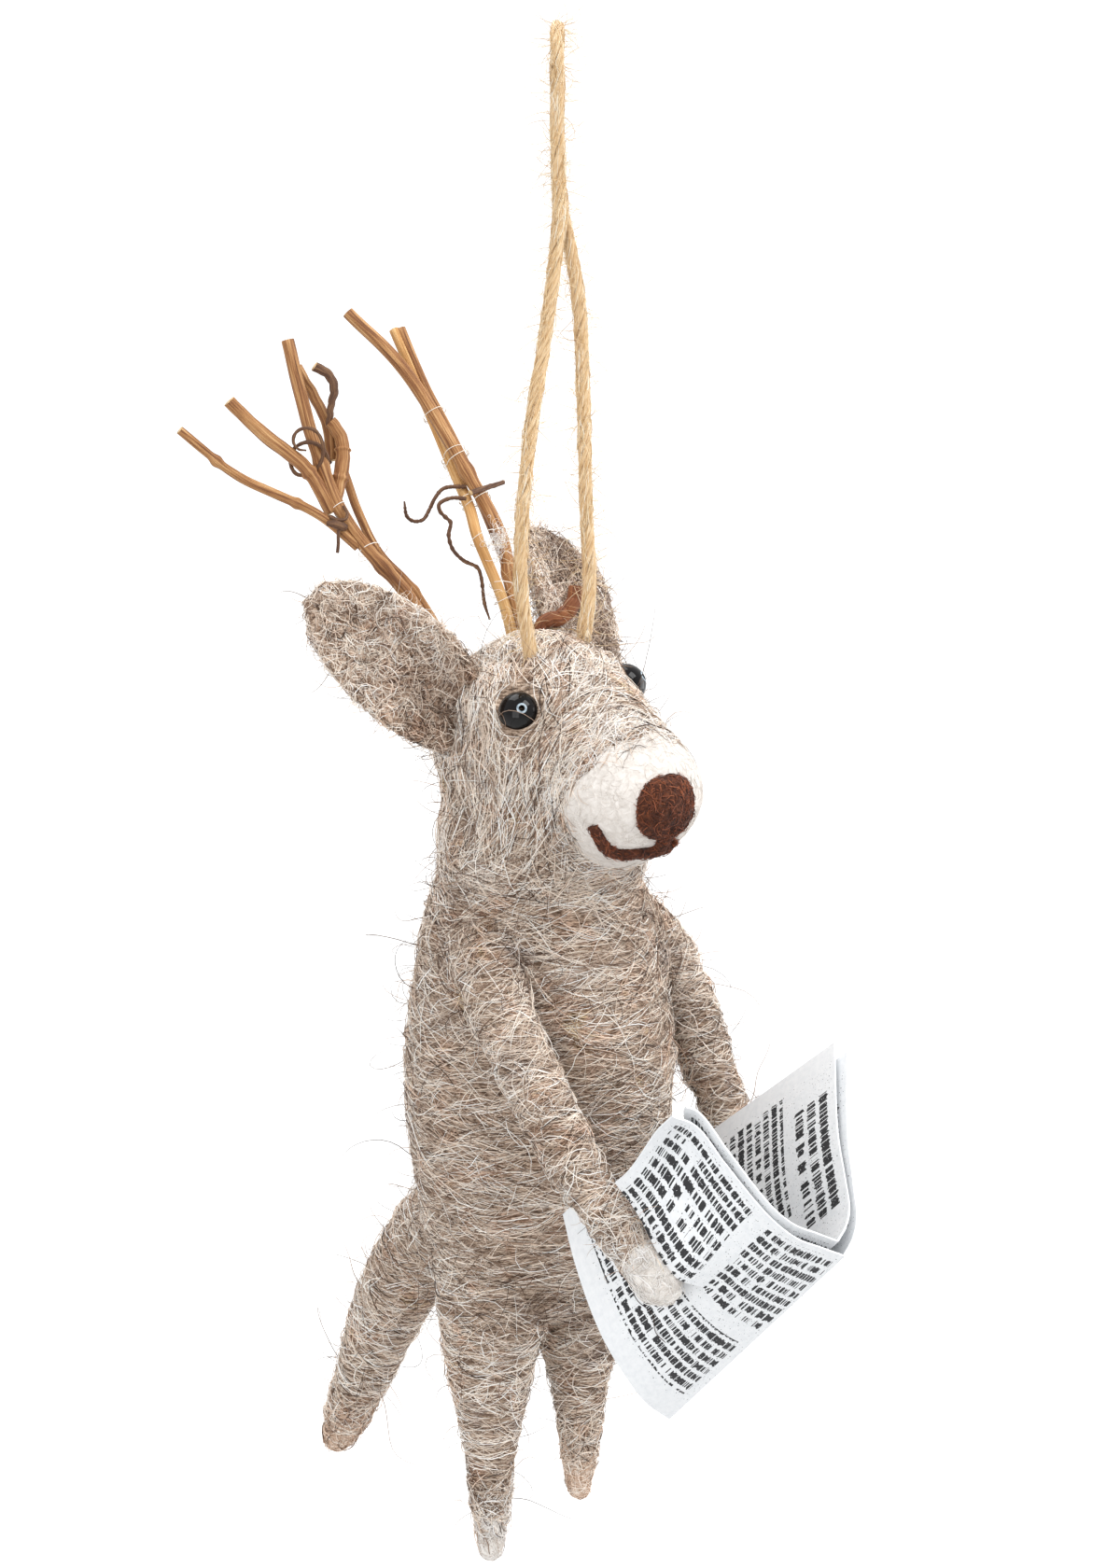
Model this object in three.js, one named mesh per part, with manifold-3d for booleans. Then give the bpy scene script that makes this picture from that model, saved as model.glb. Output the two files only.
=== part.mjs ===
// Deer ornament: a wool deer on a loop of twine, with twig antlers and a folded newspaper in its hands.
// Millimetres, +Z up. The deer faces -Y and its left side is +X. The origin is the inside of the loop's top.
import * as THREE from "three";
import { mergeVertices } from "three/addons/utils/BufferGeometryUtils.js";
import Module from "manifold-3d";

const wasm = await Module();
wasm.setup();

// Fits between pieces
const seatGap = 0.3; // where one piece is felted, glued or laid on another
const wireGap = 0.3; // around each wire in its bore

// Twine loop
const loopDrop = 98.5; // from the inside of the loop's top to the crown
const twineThickness = 2.2;
const twineSpread = 12; // between the two ends in the crown
const twinePitClearance = 0.9; // around each end, so that the figure can swing on the twine

// Head
const headRadius = 17;
const headSetback = 3.2; // middle of the head behind the twine
const snoutRadius = 11.7;
const snoutReach = 12.6; // middle of the snout in front of the twine
const snoutDrop = 4.4; // middle of the snout below the middle of the head
const neckRadius = 15.8;
const neckDrop = 18.5; // middle of the neck below the middle of the head
const headBlend = 7; // how widely the snout and the neck run into the head

// Face
const muzzleWidth = 25;
const muzzleHeight = 24.4;
const muzzleDepth = 21;
const muzzleReach = 16.1; // middle of the white felt in front of the twine
const muzzleDrop = 6.2; // middle of the white felt below the middle of the head
const noseWidth = 11;
const noseHeight = 11.4;
const noseDepth = 7;
const noseProud = 1.8; // how far the nose stands out of the muzzle
const noseRise = 0.7; // middle of the nose above the middle of the muzzle
const noseAside = 1.5; // handmade, the nose sits a little to the deer's right
const mouthThickness = 1.6;
const mouthStemThickness = 2.6;
const mouthDrop = 6.4; // the smile below the middle of the muzzle
const smileRise = 4.8; // the smile's corners above its middle
const smileTurnShare = 62 / 180; // from the middle to each corner, as a share of a half turn
const eyeDiameter = 6;
const eyeBore = 1;
const eyeSunk = 0.8; // middle of each bead under the wool's surface
const eyeTurnShares = [60.8 / 180, 29.9 / 180]; // round from the front and up, as shares of a half turn

// Ears
const earLength = 29;
const earWidth = 17;
const earThickness = 3.6;
const earCup = 4.2; // how far the ear's edges stand in front of its middle
const earRoot = 3; // how far the ear's root reaches into the head's wool
const earTurnShares = [111 / 180, 20.5 / 180];
const rightEarAxisShares = [-0.52, 0.53, 0.67];
const leftEarAxisShares = [0.42, 0.68, 0.6];
const rightEarFrontShares = [-0.45, -0.8, 0.3];
const leftEarFrontShares = [0.12, -0.9, 0.33];

// Torso
const bodyHeight = 68;
const bodyRadius = 21;
const bodySetback = 4.2; // middle of the torso behind the twine
const bodyTopDrop = 20.5; // top of the torso below the middle of the head

// Arms, measured down from the top of the torso
const rightArmThickness = 9.2;
const leftArmThickness = 8;
const shoulderDrop = 12.4;
const shoulderSpread = 38; // between the middles of the arms at the shoulders
const shoulderForward = 3.6;
const shoulderRoot = 6; // how far each arm starts inside the torso's side
const elbowOut = 3.8;
const leftElbowBack = 2.5;
const rightHandOut = 15.5;
const rightHandForward = 40.3;
const rightHandDrop = 59.4;
const leftHandOut = 22.6;
const leftHandForward = 21.6;
const leftHandDrop = 59.2;
const handLength = 9.5;

// Legs and tail, measured down from the top of the torso
const legSpread = 20;
const legSetback = 5;
const legTopDrop = 60;
const legTopRadius = 8.8;
const footRadius = 2.2;
const rightLegDrop = 110.6;
const leftLegDrop = 104.9;
const footLength = 5.5;
const tailRootSetback = 12;
const tailRootDrop = 52;
const tailReach = 49.5;
const tailDrop = 103.5;
const tailBow = 5;
const tailTopRadius = 8;
const tailTipRadius = 3;
const tailTipLength = 4;

// Wires
const wireThickness = 1.2;
const wireEndCover = 3; // wool over each wire's end
const hipDrop = 50; // the legs' wire crosses the torso this far below its top

// Antlers
const antlerReach = 52; // the length that the twigs' shares are taken of
const twigDepth = 8; // how far the twigs go into the head
const twigThickness = 2.2;
const splitTwigThickness = 1.8;
const thinTwigThickness = 1.5;
const knotThickness = 2.3;
const tendrilThickness = 0.55;
const coilRadius = 2.2;
const coilPitch = 1.3;
const stalkThickness = 1.5;
const pegThickness = 0.9;
const chipWidth = 2.6;
const antlerTurnShares = [144 / 180, 35.5 / 180];

// Newspaper
const paperThickness = 0.35;
const sheetGap = 0.9;
const foldLength = 43.5;
const panelWidth = 40;
const paperBow = 7.7; // how far the panels belly out
const foldOut = 1.1; // back end of the fold, to the deer's right
const foldForward = 26.1;
const foldDrop = 85.1; // below the top of the torso
const innerPeek = 1.8; // how far the inner sheet shows past the outer one in front of the right hand
const innerRise = 2.6; // and above it in the left hand
const slitShare = 0.55; // the slit's place along the fold, from the end by the body
const slitLift = 2.4; // how far the slit's front lip stands out at the top edge
const slitDent = 3.4; // how far the arm presses the paper in

const vec = (x, y, z) => new THREE.Vector3(x, y, z);
const fromShares = (shares) => vec(...shares).normalize();
const { lerp, smoothstep } = THREE.MathUtils;

// Solids from three.js geometry, and back again
function solid(geometry) {
  const bare = geometry.clone();
  bare.deleteAttribute("normal");
  bare.deleteAttribute("uv");
  const merged = mergeVertices(bare, 1e-4);
  const mesh = new wasm.Mesh({
    numProp: 3,
    vertProperties: new Float32Array(merged.attributes.position.array),
    triVerts: new Uint32Array(merged.index.array),
  });
  return new wasm.Manifold(mesh);
}

function geometryOf(manifold) {
  const mesh = manifold.getMesh();
  const geometry = new THREE.BufferGeometry();
  geometry.setAttribute("position", new THREE.BufferAttribute(mesh.vertProperties, 3));
  geometry.setIndex(new THREE.BufferAttribute(mesh.triVerts, 1));
  return geometry;
}

// What is left of a piece after its neighbours' room is cut from it, without the crumbs of a trimmed root
function cut(base, tools) {
  const bodies = tools.reduce((rest, tool) => rest.subtract(tool), base).decompose();
  return bodies.reduce((best, body) => (body.volume() > best.volume() ? body : best));
}

// A smooth run of values between stops
function profile(stops, values) {
  const run = new THREE.CubicInterpolant(stops, values, 1);
  return (share) => run.evaluate(share)[0];
}

const even = (size) => () => size;
const smoothPath = (points) => new THREE.CatmullRomCurve3(points, false, "centripetal");

// Part of a curve, between two shares of its length
class Stretch extends THREE.Curve {
  constructor(whole, from, to) {
    super();
    Object.assign(this, { whole, from, to });
  }
  getPoint(share, target = new THREE.Vector3()) {
    return this.whole.getPointAt(lerp(this.from, this.to, share), target);
  }
}

function indexed(positions, index) {
  const geometry = new THREE.BufferGeometry();
  geometry.setAttribute("position", new THREE.Float32BufferAttribute(positions, 3));
  geometry.setIndex(index);
  return geometry;
}

// A tube along a curve whose radius follows radiusAt. Each end is a cap, flat at 0 and round at 1.
// Growing it by a clearance moves its side and both its ends out alike.
function limb({ curve, radiusAt, rings = 10, sides = 12, startCap = 0, endCap = 1, grow = 0 }) {
  const frames = curve.computeFrenetFrames(rings);
  const capSteps = 3;
  const positions = [];
  const rows = [];
  const along = (step, shift) =>
    curve.getPointAt(step / rings).addScaledVector(frames.tangents[step], shift);
  const addRow = (step, radius, shift) => {
    rows.push(positions.length / 3);
    for (let k = 0; k < sides; k++) {
      const turn = (2 * Math.PI * k) / sides;
      const point = along(step, shift);
      point.addScaledVector(frames.normals[step], radius * Math.cos(turn));
      point.addScaledVector(frames.binormals[step], radius * Math.sin(turn));
      positions.push(...point);
    }
  };
  const addPole = (step, shift) => {
    positions.push(...along(step, shift));
    return positions.length / 3 - 1;
  };
  const startShift = startCap * radiusAt(0) + grow;
  const endShift = endCap * radiusAt(1) + grow;
  const capTurn = (k) => (Math.PI / 2) * (k / capSteps);
  const firstPole = addPole(0, -startShift);
  for (let k = 1; k < capSteps && startCap > 0; k++) {
    addRow(0, (radiusAt(0) + grow) * Math.sin(capTurn(k)), -startShift * Math.cos(capTurn(k)));
  }
  for (let step = 0; step <= rings; step++) {
    const flatStart = step === 0 && startCap === 0 ? -grow : 0;
    const flatEnd = step === rings && endCap === 0 ? grow : 0;
    addRow(step, radiusAt(step / rings) + grow, flatStart + flatEnd);
  }
  for (let k = capSteps - 1; k > 0 && endCap > 0; k--) {
    addRow(rings, (radiusAt(1) + grow) * Math.sin(capTurn(k)), endShift * Math.cos(capTurn(k)));
  }
  const lastPole = addPole(rings, endShift);
  const index = [];
  const last = rows[rows.length - 1];
  for (let k = 0; k < sides; k++) {
    const next = (k + 1) % sides;
    index.push(firstPole, rows[0] + next, rows[0] + k);
    index.push(last + k, last + next, lastPole);
    for (let row = 1; row < rows.length; row++) {
      const [low, high] = [rows[row - 1], rows[row]];
      index.push(low + k, low + next, high + next, low + k, high + next, high + k);
    }
  }
  return solid(indexed(positions, index));
}

// A closed sheet over a grid. place(a, b, side) gives its middle, a across and b along from 0 to 1, and
// thickness(a, b) its thickness. A slit opens the grid line slit.column, past the line slit.from along b.
function sheet({ columns, rows, place, thickness, slit = { column: 0, from: rows } }) {
  const upper = [];
  const lower = [];
  const keys = new Map();
  const step = 0.2;
  const vertex = (i, j, side) => {
    const torn = i === slit.column && j > slit.from;
    const key = `${i},${j},${torn ? side : 0}`;
    if (!keys.has(key)) {
      const [a, b] = [i / columns, j / rows];
      const across = place(Math.min(a + step / columns, 1), b, side);
      across.sub(place(Math.max(a - step / columns, 0), b, side));
      const along = place(a, Math.min(b + step / rows, 1), side);
      along.sub(place(a, Math.max(b - step / rows, 0), side));
      const normal = across.cross(along).normalize();
      upper.push(place(a, b, side).addScaledVector(normal, thickness(a, b) / 2));
      lower.push(place(a, b, side).addScaledVector(normal, -thickness(a, b) / 2));
      keys.set(key, upper.length - 1);
    }
    return keys.get(key);
  };
  const quads = [];
  for (let i = 0; i < columns; i++) {
    const side = i < slit.column ? -1 : 1;
    for (let j = 0; j < rows; j++) {
      quads.push([[i, j], [i + 1, j], [i + 1, j + 1], [i, j + 1]].map(([c, r]) => vertex(c, r, side)));
    }
  }
  const under = upper.length;
  const index = [];
  const edges = new Map();
  for (const [p, q, r, s] of quads) {
    index.push(p, q, r, p, r, s);
    index.push(p + under, r + under, q + under, p + under, s + under, r + under);
    for (const [from, to] of [[p, q], [q, r], [r, s], [s, p]]) edges.set(`${from},${to}`, [from, to]);
  }
  for (const [from, to] of edges.values()) {
    if (edges.has(`${to},${from}`)) continue;
    index.push(from, from + under, to + under, from, to + under, to);
  }
  return solid(indexed([...upper, ...lower].flatMap((point) => [...point]), index));
}

function ball(centre, width, depth, height, sides = 16) {
  const geometry = new THREE.SphereGeometry(0.5, sides, Math.round(sides * 0.75)).rotateX(Math.PI / 2);
  return solid(geometry.scale(width, depth, height).translate(...centre));
}

const pieces = new THREE.Group();
const colours = {
  wool: 0xb5a797,
  darkWool: 0x8f8171,
  white: 0xf1ece6,
  pale: 0xd8b49a,
  nose: 0x4a2418,
  glass: 0x0c0a0a,
  twig: 0x9c6b42,
  splitWood: 0xc99a5e,
  bark: 0x5e4632,
  chip: 0x7c4526,
  paper: 0xe8ecf2,
  twine: 0xc9a56a,
  wire: 0x8d8f92,
};

function add(name, manifold, colour, roughness = 0.95, metalness = 0) {
  const material = new THREE.MeshStandardMaterial({ color: colours[colour], roughness, metalness });
  const mesh = new THREE.Mesh(geometryOf(manifold), material);
  mesh.name = name;
  pieces.add(mesh);
  return manifold;
}

// Head: three balls that run into each other, placed from the crown between the two ends of the twine
const crown = vec(0, 0, -loopDrop);
const headDrop = Math.sqrt(headRadius ** 2 - (twineSpread / 2) ** 2 - headSetback ** 2);
const headCentre = crown.clone().add(vec(0, headSetback, -headDrop));
const muzzleCentre = crown.clone().add(vec(0, -muzzleReach, -headDrop - muzzleDrop));
const snoutCentre = crown.clone().add(vec(0, -snoutReach, -headDrop - snoutDrop));
const neckCentre = headCentre.clone().add(vec(0, 0, -neckDrop));
const headBalls = [
  [headCentre, headRadius],
  [snoutCentre, snoutRadius],
  [neckCentre, neckRadius],
];

function headDistance(point) {
  return headBalls.reduce((joined, [centre, radius]) => {
    const distance = point.distanceTo(centre) - radius;
    const overlap = Math.max(headBlend - Math.abs(joined - distance), 0) / headBlend;
    return Math.min(joined, distance) - (overlap ** 2 * headBlend) / 4;
  }, 10 * headRadius);
}

// Where a ray from inside the head leaves its wool, or the room of a clearance around it
function headSurface(from, direction, grow = 0) {
  let [inside, outside] = [0, 3 * headRadius];
  for (let halving = 0; halving < 40; halving++) {
    const middle = (inside + outside) / 2;
    const point = from.clone().addScaledVector(direction, middle);
    if (headDistance(point) < grow) inside = middle;
    else outside = middle;
  }
  return from.clone().addScaledVector(direction, inside);
}

function headSolid(grow) {
  const geometry = new THREE.SphereGeometry(1, 26, 18).rotateX(Math.PI / 2);
  const from = headCentre.clone().lerp(snoutCentre, 0.35);
  const spots = geometry.attributes.position;
  for (let k = 0; k < spots.count; k++) {
    const direction = new THREE.Vector3().fromBufferAttribute(spots, k).normalize();
    spots.setXYZ(k, ...headSurface(from, direction, grow));
  }
  return solid(geometry);
}

// A direction from the middle of the head: round from the face by a turn to one side, then up
function headDirection([roundShare, upShare], side) {
  const [round, up] = [roundShare * Math.PI, upShare * Math.PI];
  return vec(side * Math.sin(round) * Math.cos(up), -Math.cos(round) * Math.cos(up), Math.sin(up));
}

// Torso: wide at the belly, drawn in at the neck and the hips
const bodyTop = headCentre.z - bodyTopDrop;
const torsoRadius = profile([0, 0.14, 0.38, 0.56, 0.78, 0.92, 1], [0.745, 0.86, 0.985, 1, 0.92, 0.78, 0.62]);
const torsoLine = new THREE.LineCurve3(
  vec(0, bodySetback, bodyTop),
  vec(0, bodySetback, bodyTop - bodyHeight),
);

function torsoSolid(grow) {
  const radiusAt = (share) => bodyRadius * torsoRadius(share);
  return limb({ curve: torsoLine, radiusAt, rings: 13, sides: 22, startCap: 0.35, endCap: 0.5, grow });
}

// Arms: each from inside the shoulder, over an elbow, to the tip of its hand
function armLine(side, handOut, handForward, handDrop, elbowBack) {
  const shoulder = vec((side * shoulderSpread) / 2, -shoulderForward, bodyTop - shoulderDrop);
  const root = shoulder.clone().add(vec(-side * shoulderRoot, shoulderRoot, shoulderRoot / 2));
  const tip = vec(side * handOut, -handForward, bodyTop - handDrop);
  const elbow = shoulder.clone().lerp(tip, 0.5).add(vec(side * elbowOut, elbowBack, 0));
  return smoothPath([root, shoulder, elbow, tip]);
}

const arms = {
  right: { line: armLine(-1, rightHandOut, rightHandForward, rightHandDrop, 0), thickness: rightArmThickness },
  left: { line: armLine(1, leftHandOut, leftHandForward, leftHandDrop, leftElbowBack), thickness: leftArmThickness },
};

function armSolids({ line, thickness }, grow) {
  const wrist = 1 - handLength / line.getLength();
  const seam = seatGap / line.getLength();
  const swell = profile([0, 0.3, 0.7, 1], [1, 1.02, 0.96, 0.88]);
  const radiusAt = (share) => (thickness / 2) * swell(share);
  return {
    arm: limb({
      curve: new Stretch(line, 0, wrist - seam / 2),
      radiusAt: (share) => radiusAt(share * wrist),
      rings: 12,
      sides: 14,
      startCap: 0.8,
      endCap: 0,
      grow,
    }),
    hand: limb({
      curve: new Stretch(line, wrist + seam / 2, 1 - thickness / 2 / line.getLength()),
      radiusAt: (share) => radiusAt(lerp(wrist, 1, share)),
      rings: 3,
      sides: 14,
      grow,
    }),
  };
}

// Legs and tail: tapering to blunt tips of paler wool
function legLine(side, drop) {
  const top = vec((side * legSpread) / 2, legSetback, bodyTop - legTopDrop);
  return new THREE.LineCurve3(top, vec((side * legSpread) / 2, legSetback, bodyTop - drop));
}

function tailLine() {
  const root = vec(0, tailRootSetback, bodyTop - tailRootDrop);
  const tip = vec(0, tailReach, bodyTop - tailDrop);
  const outward = vec(0, root.z - tip.z, tip.y - root.y).normalize();
  const bend = root.clone().lerp(tip, 0.45).addScaledVector(outward, tailBow);
  return smoothPath([root, bend, tip]);
}

const legFall = profile([0, 0.22, 0.45, 0.66, 0.86, 1], [1, 0.94, 0.66, 0.31, 0.1, 0]);
const tailFall = profile([0, 0.3, 0.65, 1], [1, 0.82, 0.5, 0]);
const limbs = {
  right_leg: { line: legLine(-1, rightLegDrop), fall: legFall, tipName: "right_foot", tipColour: "white" },
  left_leg: { line: legLine(1, leftLegDrop), fall: legFall, tipName: "left_foot", tipColour: "pale" },
};
for (const leg of Object.values(limbs)) {
  Object.assign(leg, { top: legTopRadius, end: footRadius, tipLength: footLength });
}
limbs.tail = { line: tailLine(), fall: tailFall, tipName: "tail_tip", tipColour: "pale" };
Object.assign(limbs.tail, { top: tailTopRadius, end: tailTipRadius, tipLength: tailTipLength });

function taperedSolids({ line, fall, top, end, tipLength }, grow) {
  const split = 1 - tipLength / line.getLength();
  const seam = seatGap / line.getLength();
  const radiusAt = (share) => lerp(end, top, fall(share));
  return {
    trunk: limb({
      curve: new Stretch(line, 0, split - seam / 2),
      radiusAt: (share) => radiusAt(share * split),
      rings: 13,
      sides: 16,
      startCap: 0.6,
      endCap: 0,
      grow,
    }),
    tip: limb({
      curve: new Stretch(line, split + seam / 2, 1),
      radiusAt: (share) => radiusAt(lerp(split, 1, share)),
      rings: 3,
      sides: 16,
      endCap: 0.8,
      grow,
    }),
  };
}

// Wires: one from hand to hand, one from foot to foot and one up the tail, each in a bore in the wool
function wireEnd(line) {
  return 1 - wireEndCover / line.getLength();
}

function alongLine(line, shares) {
  return shares.map((share) => line.getPointAt(share * wireEnd(line)));
}

const armShares = [1, 0.8, 0.6, 0.4, 0.2, 0];
const legShares = [1, 0.5, 0];
const wires = {
  arm_wire: smoothPath([
    ...alongLine(arms.right.line, armShares),
    vec(0, bodySetback, bodyTop - shoulderDrop),
    ...alongLine(arms.left.line, armShares).reverse(),
  ]),
  leg_wire: smoothPath([
    ...alongLine(limbs.right_leg.line, legShares),
    vec(0, legSetback, bodyTop - hipDrop),
    ...alongLine(limbs.left_leg.line, legShares).reverse(),
  ]),
  tail_wire: smoothPath(alongLine(limbs.tail.line, [1, 0.75, 0.5, 0.25, 0.05])),
};
const wireRings = { arm_wire: 32, leg_wire: 22, tail_wire: 8 };

function wireSolid(name, grow) {
  return limb({
    curve: wires[name],
    radiusAt: even(wireThickness / 2),
    rings: wireRings[name],
    sides: 5,
    endCap: 0,
    grow,
  });
}

// Antlers: bundles of vine twigs. Each twig starts in the head beside its antler's root and then follows
// points that are shares of the antlers' reach from that root: to the left, back and up.
function antlerRoot(side) {
  const direction = headDirection(antlerTurnShares, side);
  return { direction, point: headSurface(headCentre, direction) };
}

const antlerRoots = { right: antlerRoot(-1), left: antlerRoot(1) };

function onAntler(side, share) {
  return antlerRoots[side].point.clone().addScaledVector(vec(...share), antlerReach);
}

const twigs = [
  {
    name: "right_antler_main_twig",
    side: "right",
    size: twigThickness,
    shares: [[-0.054, 0.151, 0.23], [-0.117, 0.348, 0.433], [-0.121, 0.5, 0.678], [-0.094, 0.635, 0.957]],
    rootShares: [0, 0],
  },
  {
    name: "right_antler_thin_twig",
    side: "right",
    size: thinTwigThickness,
    shares: [[-0.01, 0.18, 0.24], [-0.029, 0.307, 0.337], [-0.018, 0.411, 0.452], [-0.006, 0.483, 0.562]],
    rootShares: [1.2, 0],
  },
  {
    name: "right_antler_front_twig",
    side: "right",
    size: twigThickness,
    shares: [[-0.138, 0.395, 0.466], [-0.174, 0.463, 0.589], [-0.272, 0.581, 0.717], [-0.331, 0.646, 0.804]],
  },
  {
    name: "right_antler_outer_twig",
    side: "right",
    size: thinTwigThickness,
    shares: [[-0.118, 0.305, 0.37], [-0.202, 0.39, 0.471], [-0.394, 0.547, 0.6], [-0.53, 0.654, 0.746]],
  },
  {
    name: "right_antler_knotted_twig",
    side: "right",
    size: knotThickness,
    shares: [[-0.107, 0.414, 0.504], [-0.058, 0.435, 0.599], [-0.033, 0.464, 0.668], [-0.047, 0.498, 0.717]],
  },
  {
    name: "right_antler_split_twig",
    side: "right",
    size: splitTwigThickness,
    shares: [[-0.06, 0.48, 0.6], [-0.037, 0.524, 0.704], [-0.062, 0.627, 0.871]],
  },
  {
    name: "left_antler_main_twig",
    side: "left",
    size: twigThickness,
    shares: [
      [0.005, 0.074, 0.178],
      [0.037, 0.162, 0.346],
      [0.049, 0.334, 0.534],
      [0.037, 0.59, 0.806],
      [-0.024, 0.766, 0.96],
    ],
    rootShares: [0, 0],
  },
  {
    name: "left_antler_back_twig",
    side: "left",
    size: splitTwigThickness,
    shares: [
      [0.048, 0.108, 0.163],
      [0.066, 0.172, 0.27],
      [0.094, 0.359, 0.507],
      [0.105, 0.575, 0.76],
      [0.122, 0.684, 0.898],
    ],
    rootShares: [1.2, 0],
  },
  {
    name: "left_antler_split_twig",
    side: "left",
    size: splitTwigThickness,
    colour: "splitWood",
    shares: [
      [-0.04, 0.071, 0.17],
      [-0.03, 0.194, 0.345],
      [0.01, 0.268, 0.418],
      [0.055, 0.384, 0.511],
      [0.089, 0.598, 0.778],
      [0.106, 0.696, 0.896],
    ],
    rootShares: [-1.2, 0],
  },
];

// A twig's thickness, a little more at its knots
function twigLine({ side, shares, rootShares }) {
  const points = shares.map((share) => onAntler(side, share));
  if (rootShares) {
    const { direction, point } = antlerRoots[side];
    const aside = vec(1, 0, 0).cross(direction).normalize();
    const root = point.clone();
    root.x += rootShares[0] * twigThickness;
    root.addScaledVector(aside, rootShares[1] * twigThickness);
    points.unshift(root.clone().addScaledVector(direction, -twigDepth), root);
  }
  return smoothPath(points);
}

function twigSolid(twig, grow) {
  const taper = profile([0, 0.5, 1], [1.05, 1, 0.92]);
  const radiusAt = (share) => (twig.size / 2) * taper(share);
  return limb({ curve: twigLine(twig), radiusAt, rings: 11, sides: 7, startCap: 0, endCap: 0, grow });
}

// Tendrils: a coil on the right antler, two wandering ones on the left
const coilTurns = 2;
const coilShares = [-0.135, 0.5, 0.64];
function coilLine() {
  const middle = onAntler("right", coilShares);
  const start = onAntler("right", [-0.068, 0.475, 0.6]);
  const [axis, up] = [fromShares([0.75, 0.6, -0.1]), fromShares([0, 0.1, 1])];
  const out = axis.clone().cross(up).normalize();
  const points = [start];
  const steps = coilTurns * 8;
  for (let step = 0; step <= steps; step++) {
    const turn = (2 * Math.PI * step) / 8;
    const radius = coilRadius * lerp(1, 0.6, step / steps);
    const point = middle.clone().addScaledVector(axis, coilPitch * (0.5 - step / 8));
    point.addScaledVector(up, -radius * Math.cos(turn));
    points.push(point.addScaledVector(out, radius * Math.sin(turn)));
  }
  return smoothPath(points);
}

const tendrils = {
  right_antler_tendril: { line: coilLine(), rings: 34 },
  left_antler_short_tendril: {
    line: smoothPath([
      [0.03, 0.305, 0.48],
      [-0.02, 0.35, 0.475],
      [-0.057, 0.352, 0.45],
      [-0.075, 0.357, 0.418],
      [-0.106, 0.355, 0.39],
      [-0.13, 0.37, 0.387],
      [-0.154, 0.376, 0.406],
      [-0.151, 0.39, 0.45],
    ].map((share) => onAntler("left", share))),
    rings: 26,
  },
  left_antler_long_tendril: {
    line: smoothPath([
      [-0.012, 0.262, 0.456],
      [-0.04, 0.3, 0.456],
      [-0.072, 0.318, 0.44],
      [-0.072, 0.315, 0.418],
      [-0.06, 0.303, 0.399],
      [-0.056, 0.285, 0.385],
      [-0.077, 0.272, 0.35],
      [-0.077, 0.255, 0.31],
      [-0.07, 0.215, 0.28],
      [-0.05, 0.175, 0.261],
      [-0.058, 0.15, 0.235],
      [-0.074, 0.12, 0.164],
      [-0.086, 0.085, 0.12],
    ].map((share) => onAntler("left", share))),
    rings: 32,
  },
};

function tendrilSolid({ line, rings }) {
  return limb({ curve: line, radiusAt: even(tendrilThickness / 2), rings, sides: 5, endCap: 0 });
}

// Bark: the leaf stalk on the right antler, the peg across the left one and the chip before the left ear
const stalkLine = smoothPath([
  [-0.041, 0.505, 0.745],
  [-0.022, 0.507, 0.81],
  [-0.023, 0.525, 0.853],
  [-0.05, 0.563, 0.88],
].map((share) => onAntler("right", share)));
const stalkSwell = profile([0, 0.4, 0.8, 1], [0.6, 0.8, 1.2, 1]);
const pegLine = new THREE.LineCurve3(onAntler("left", [-0.01, 0.245, 0.477]), onAntler("left", [0.15, 0.262, 0.48]));
const chipLine = smoothPath([
  [-0.048, -0.077, 0.058],
  [-0.019, -0.077, 0.125],
  [0.054, -0.1, 0.144],
  [0.088, -0.106, 0.183],
  [0.106, -0.096, 0.219],
].map((share) => onAntler("left", share)));
const chipSwell = profile([0, 0.35, 1], [0.5, 1, 0.95]);

// Newspaper: two sheets folded together. across runs from the top edge in the right hand at -1, over the
// fold at 0, to the top edge in the left hand at 1, and along runs from the body outward.
const foldBack = vec(-foldOut, -foldForward, bodyTop - foldDrop);
const foldShares = [0.228, -0.662, 0.715];
const rightBackShares = [-0.33, 0.26, 0.86];
const rightFrontShares = [-0.765, 0.195, 0.69];
const leftBackShares = [0.465, 0.425, 0.805];
const leftFrontShares = [0.43, 0.4, 0.61];
const slitEndShare = 0.4; // the slit's lower end, from the fold up the right panel
const rightBackBow = profile([0, 0.15, 0.3, 0.53, 0.82, 1], [0, 0.62, 0.88, 1, 0.56, 0]);
const rightFrontBow = profile([0, 0.15, 0.3, 0.45, 0.7, 0.84, 1], [0, 0.36, 0.7, 0.72, 0.14, -0.3, 0]);
const leftBow = profile([0, 0.1, 0.2, 0.35, 0.57, 1], [0, 0.24, 0.34, 0.24, 0.06, 0]);

function panelTop(onRight, along) {
  const [back, front] = onRight ? [rightBackShares, rightFrontShares] : [leftBackShares, leftFrontShares];
  return vec(...back).lerp(vec(...front), along).multiplyScalar(panelWidth);
}

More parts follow.
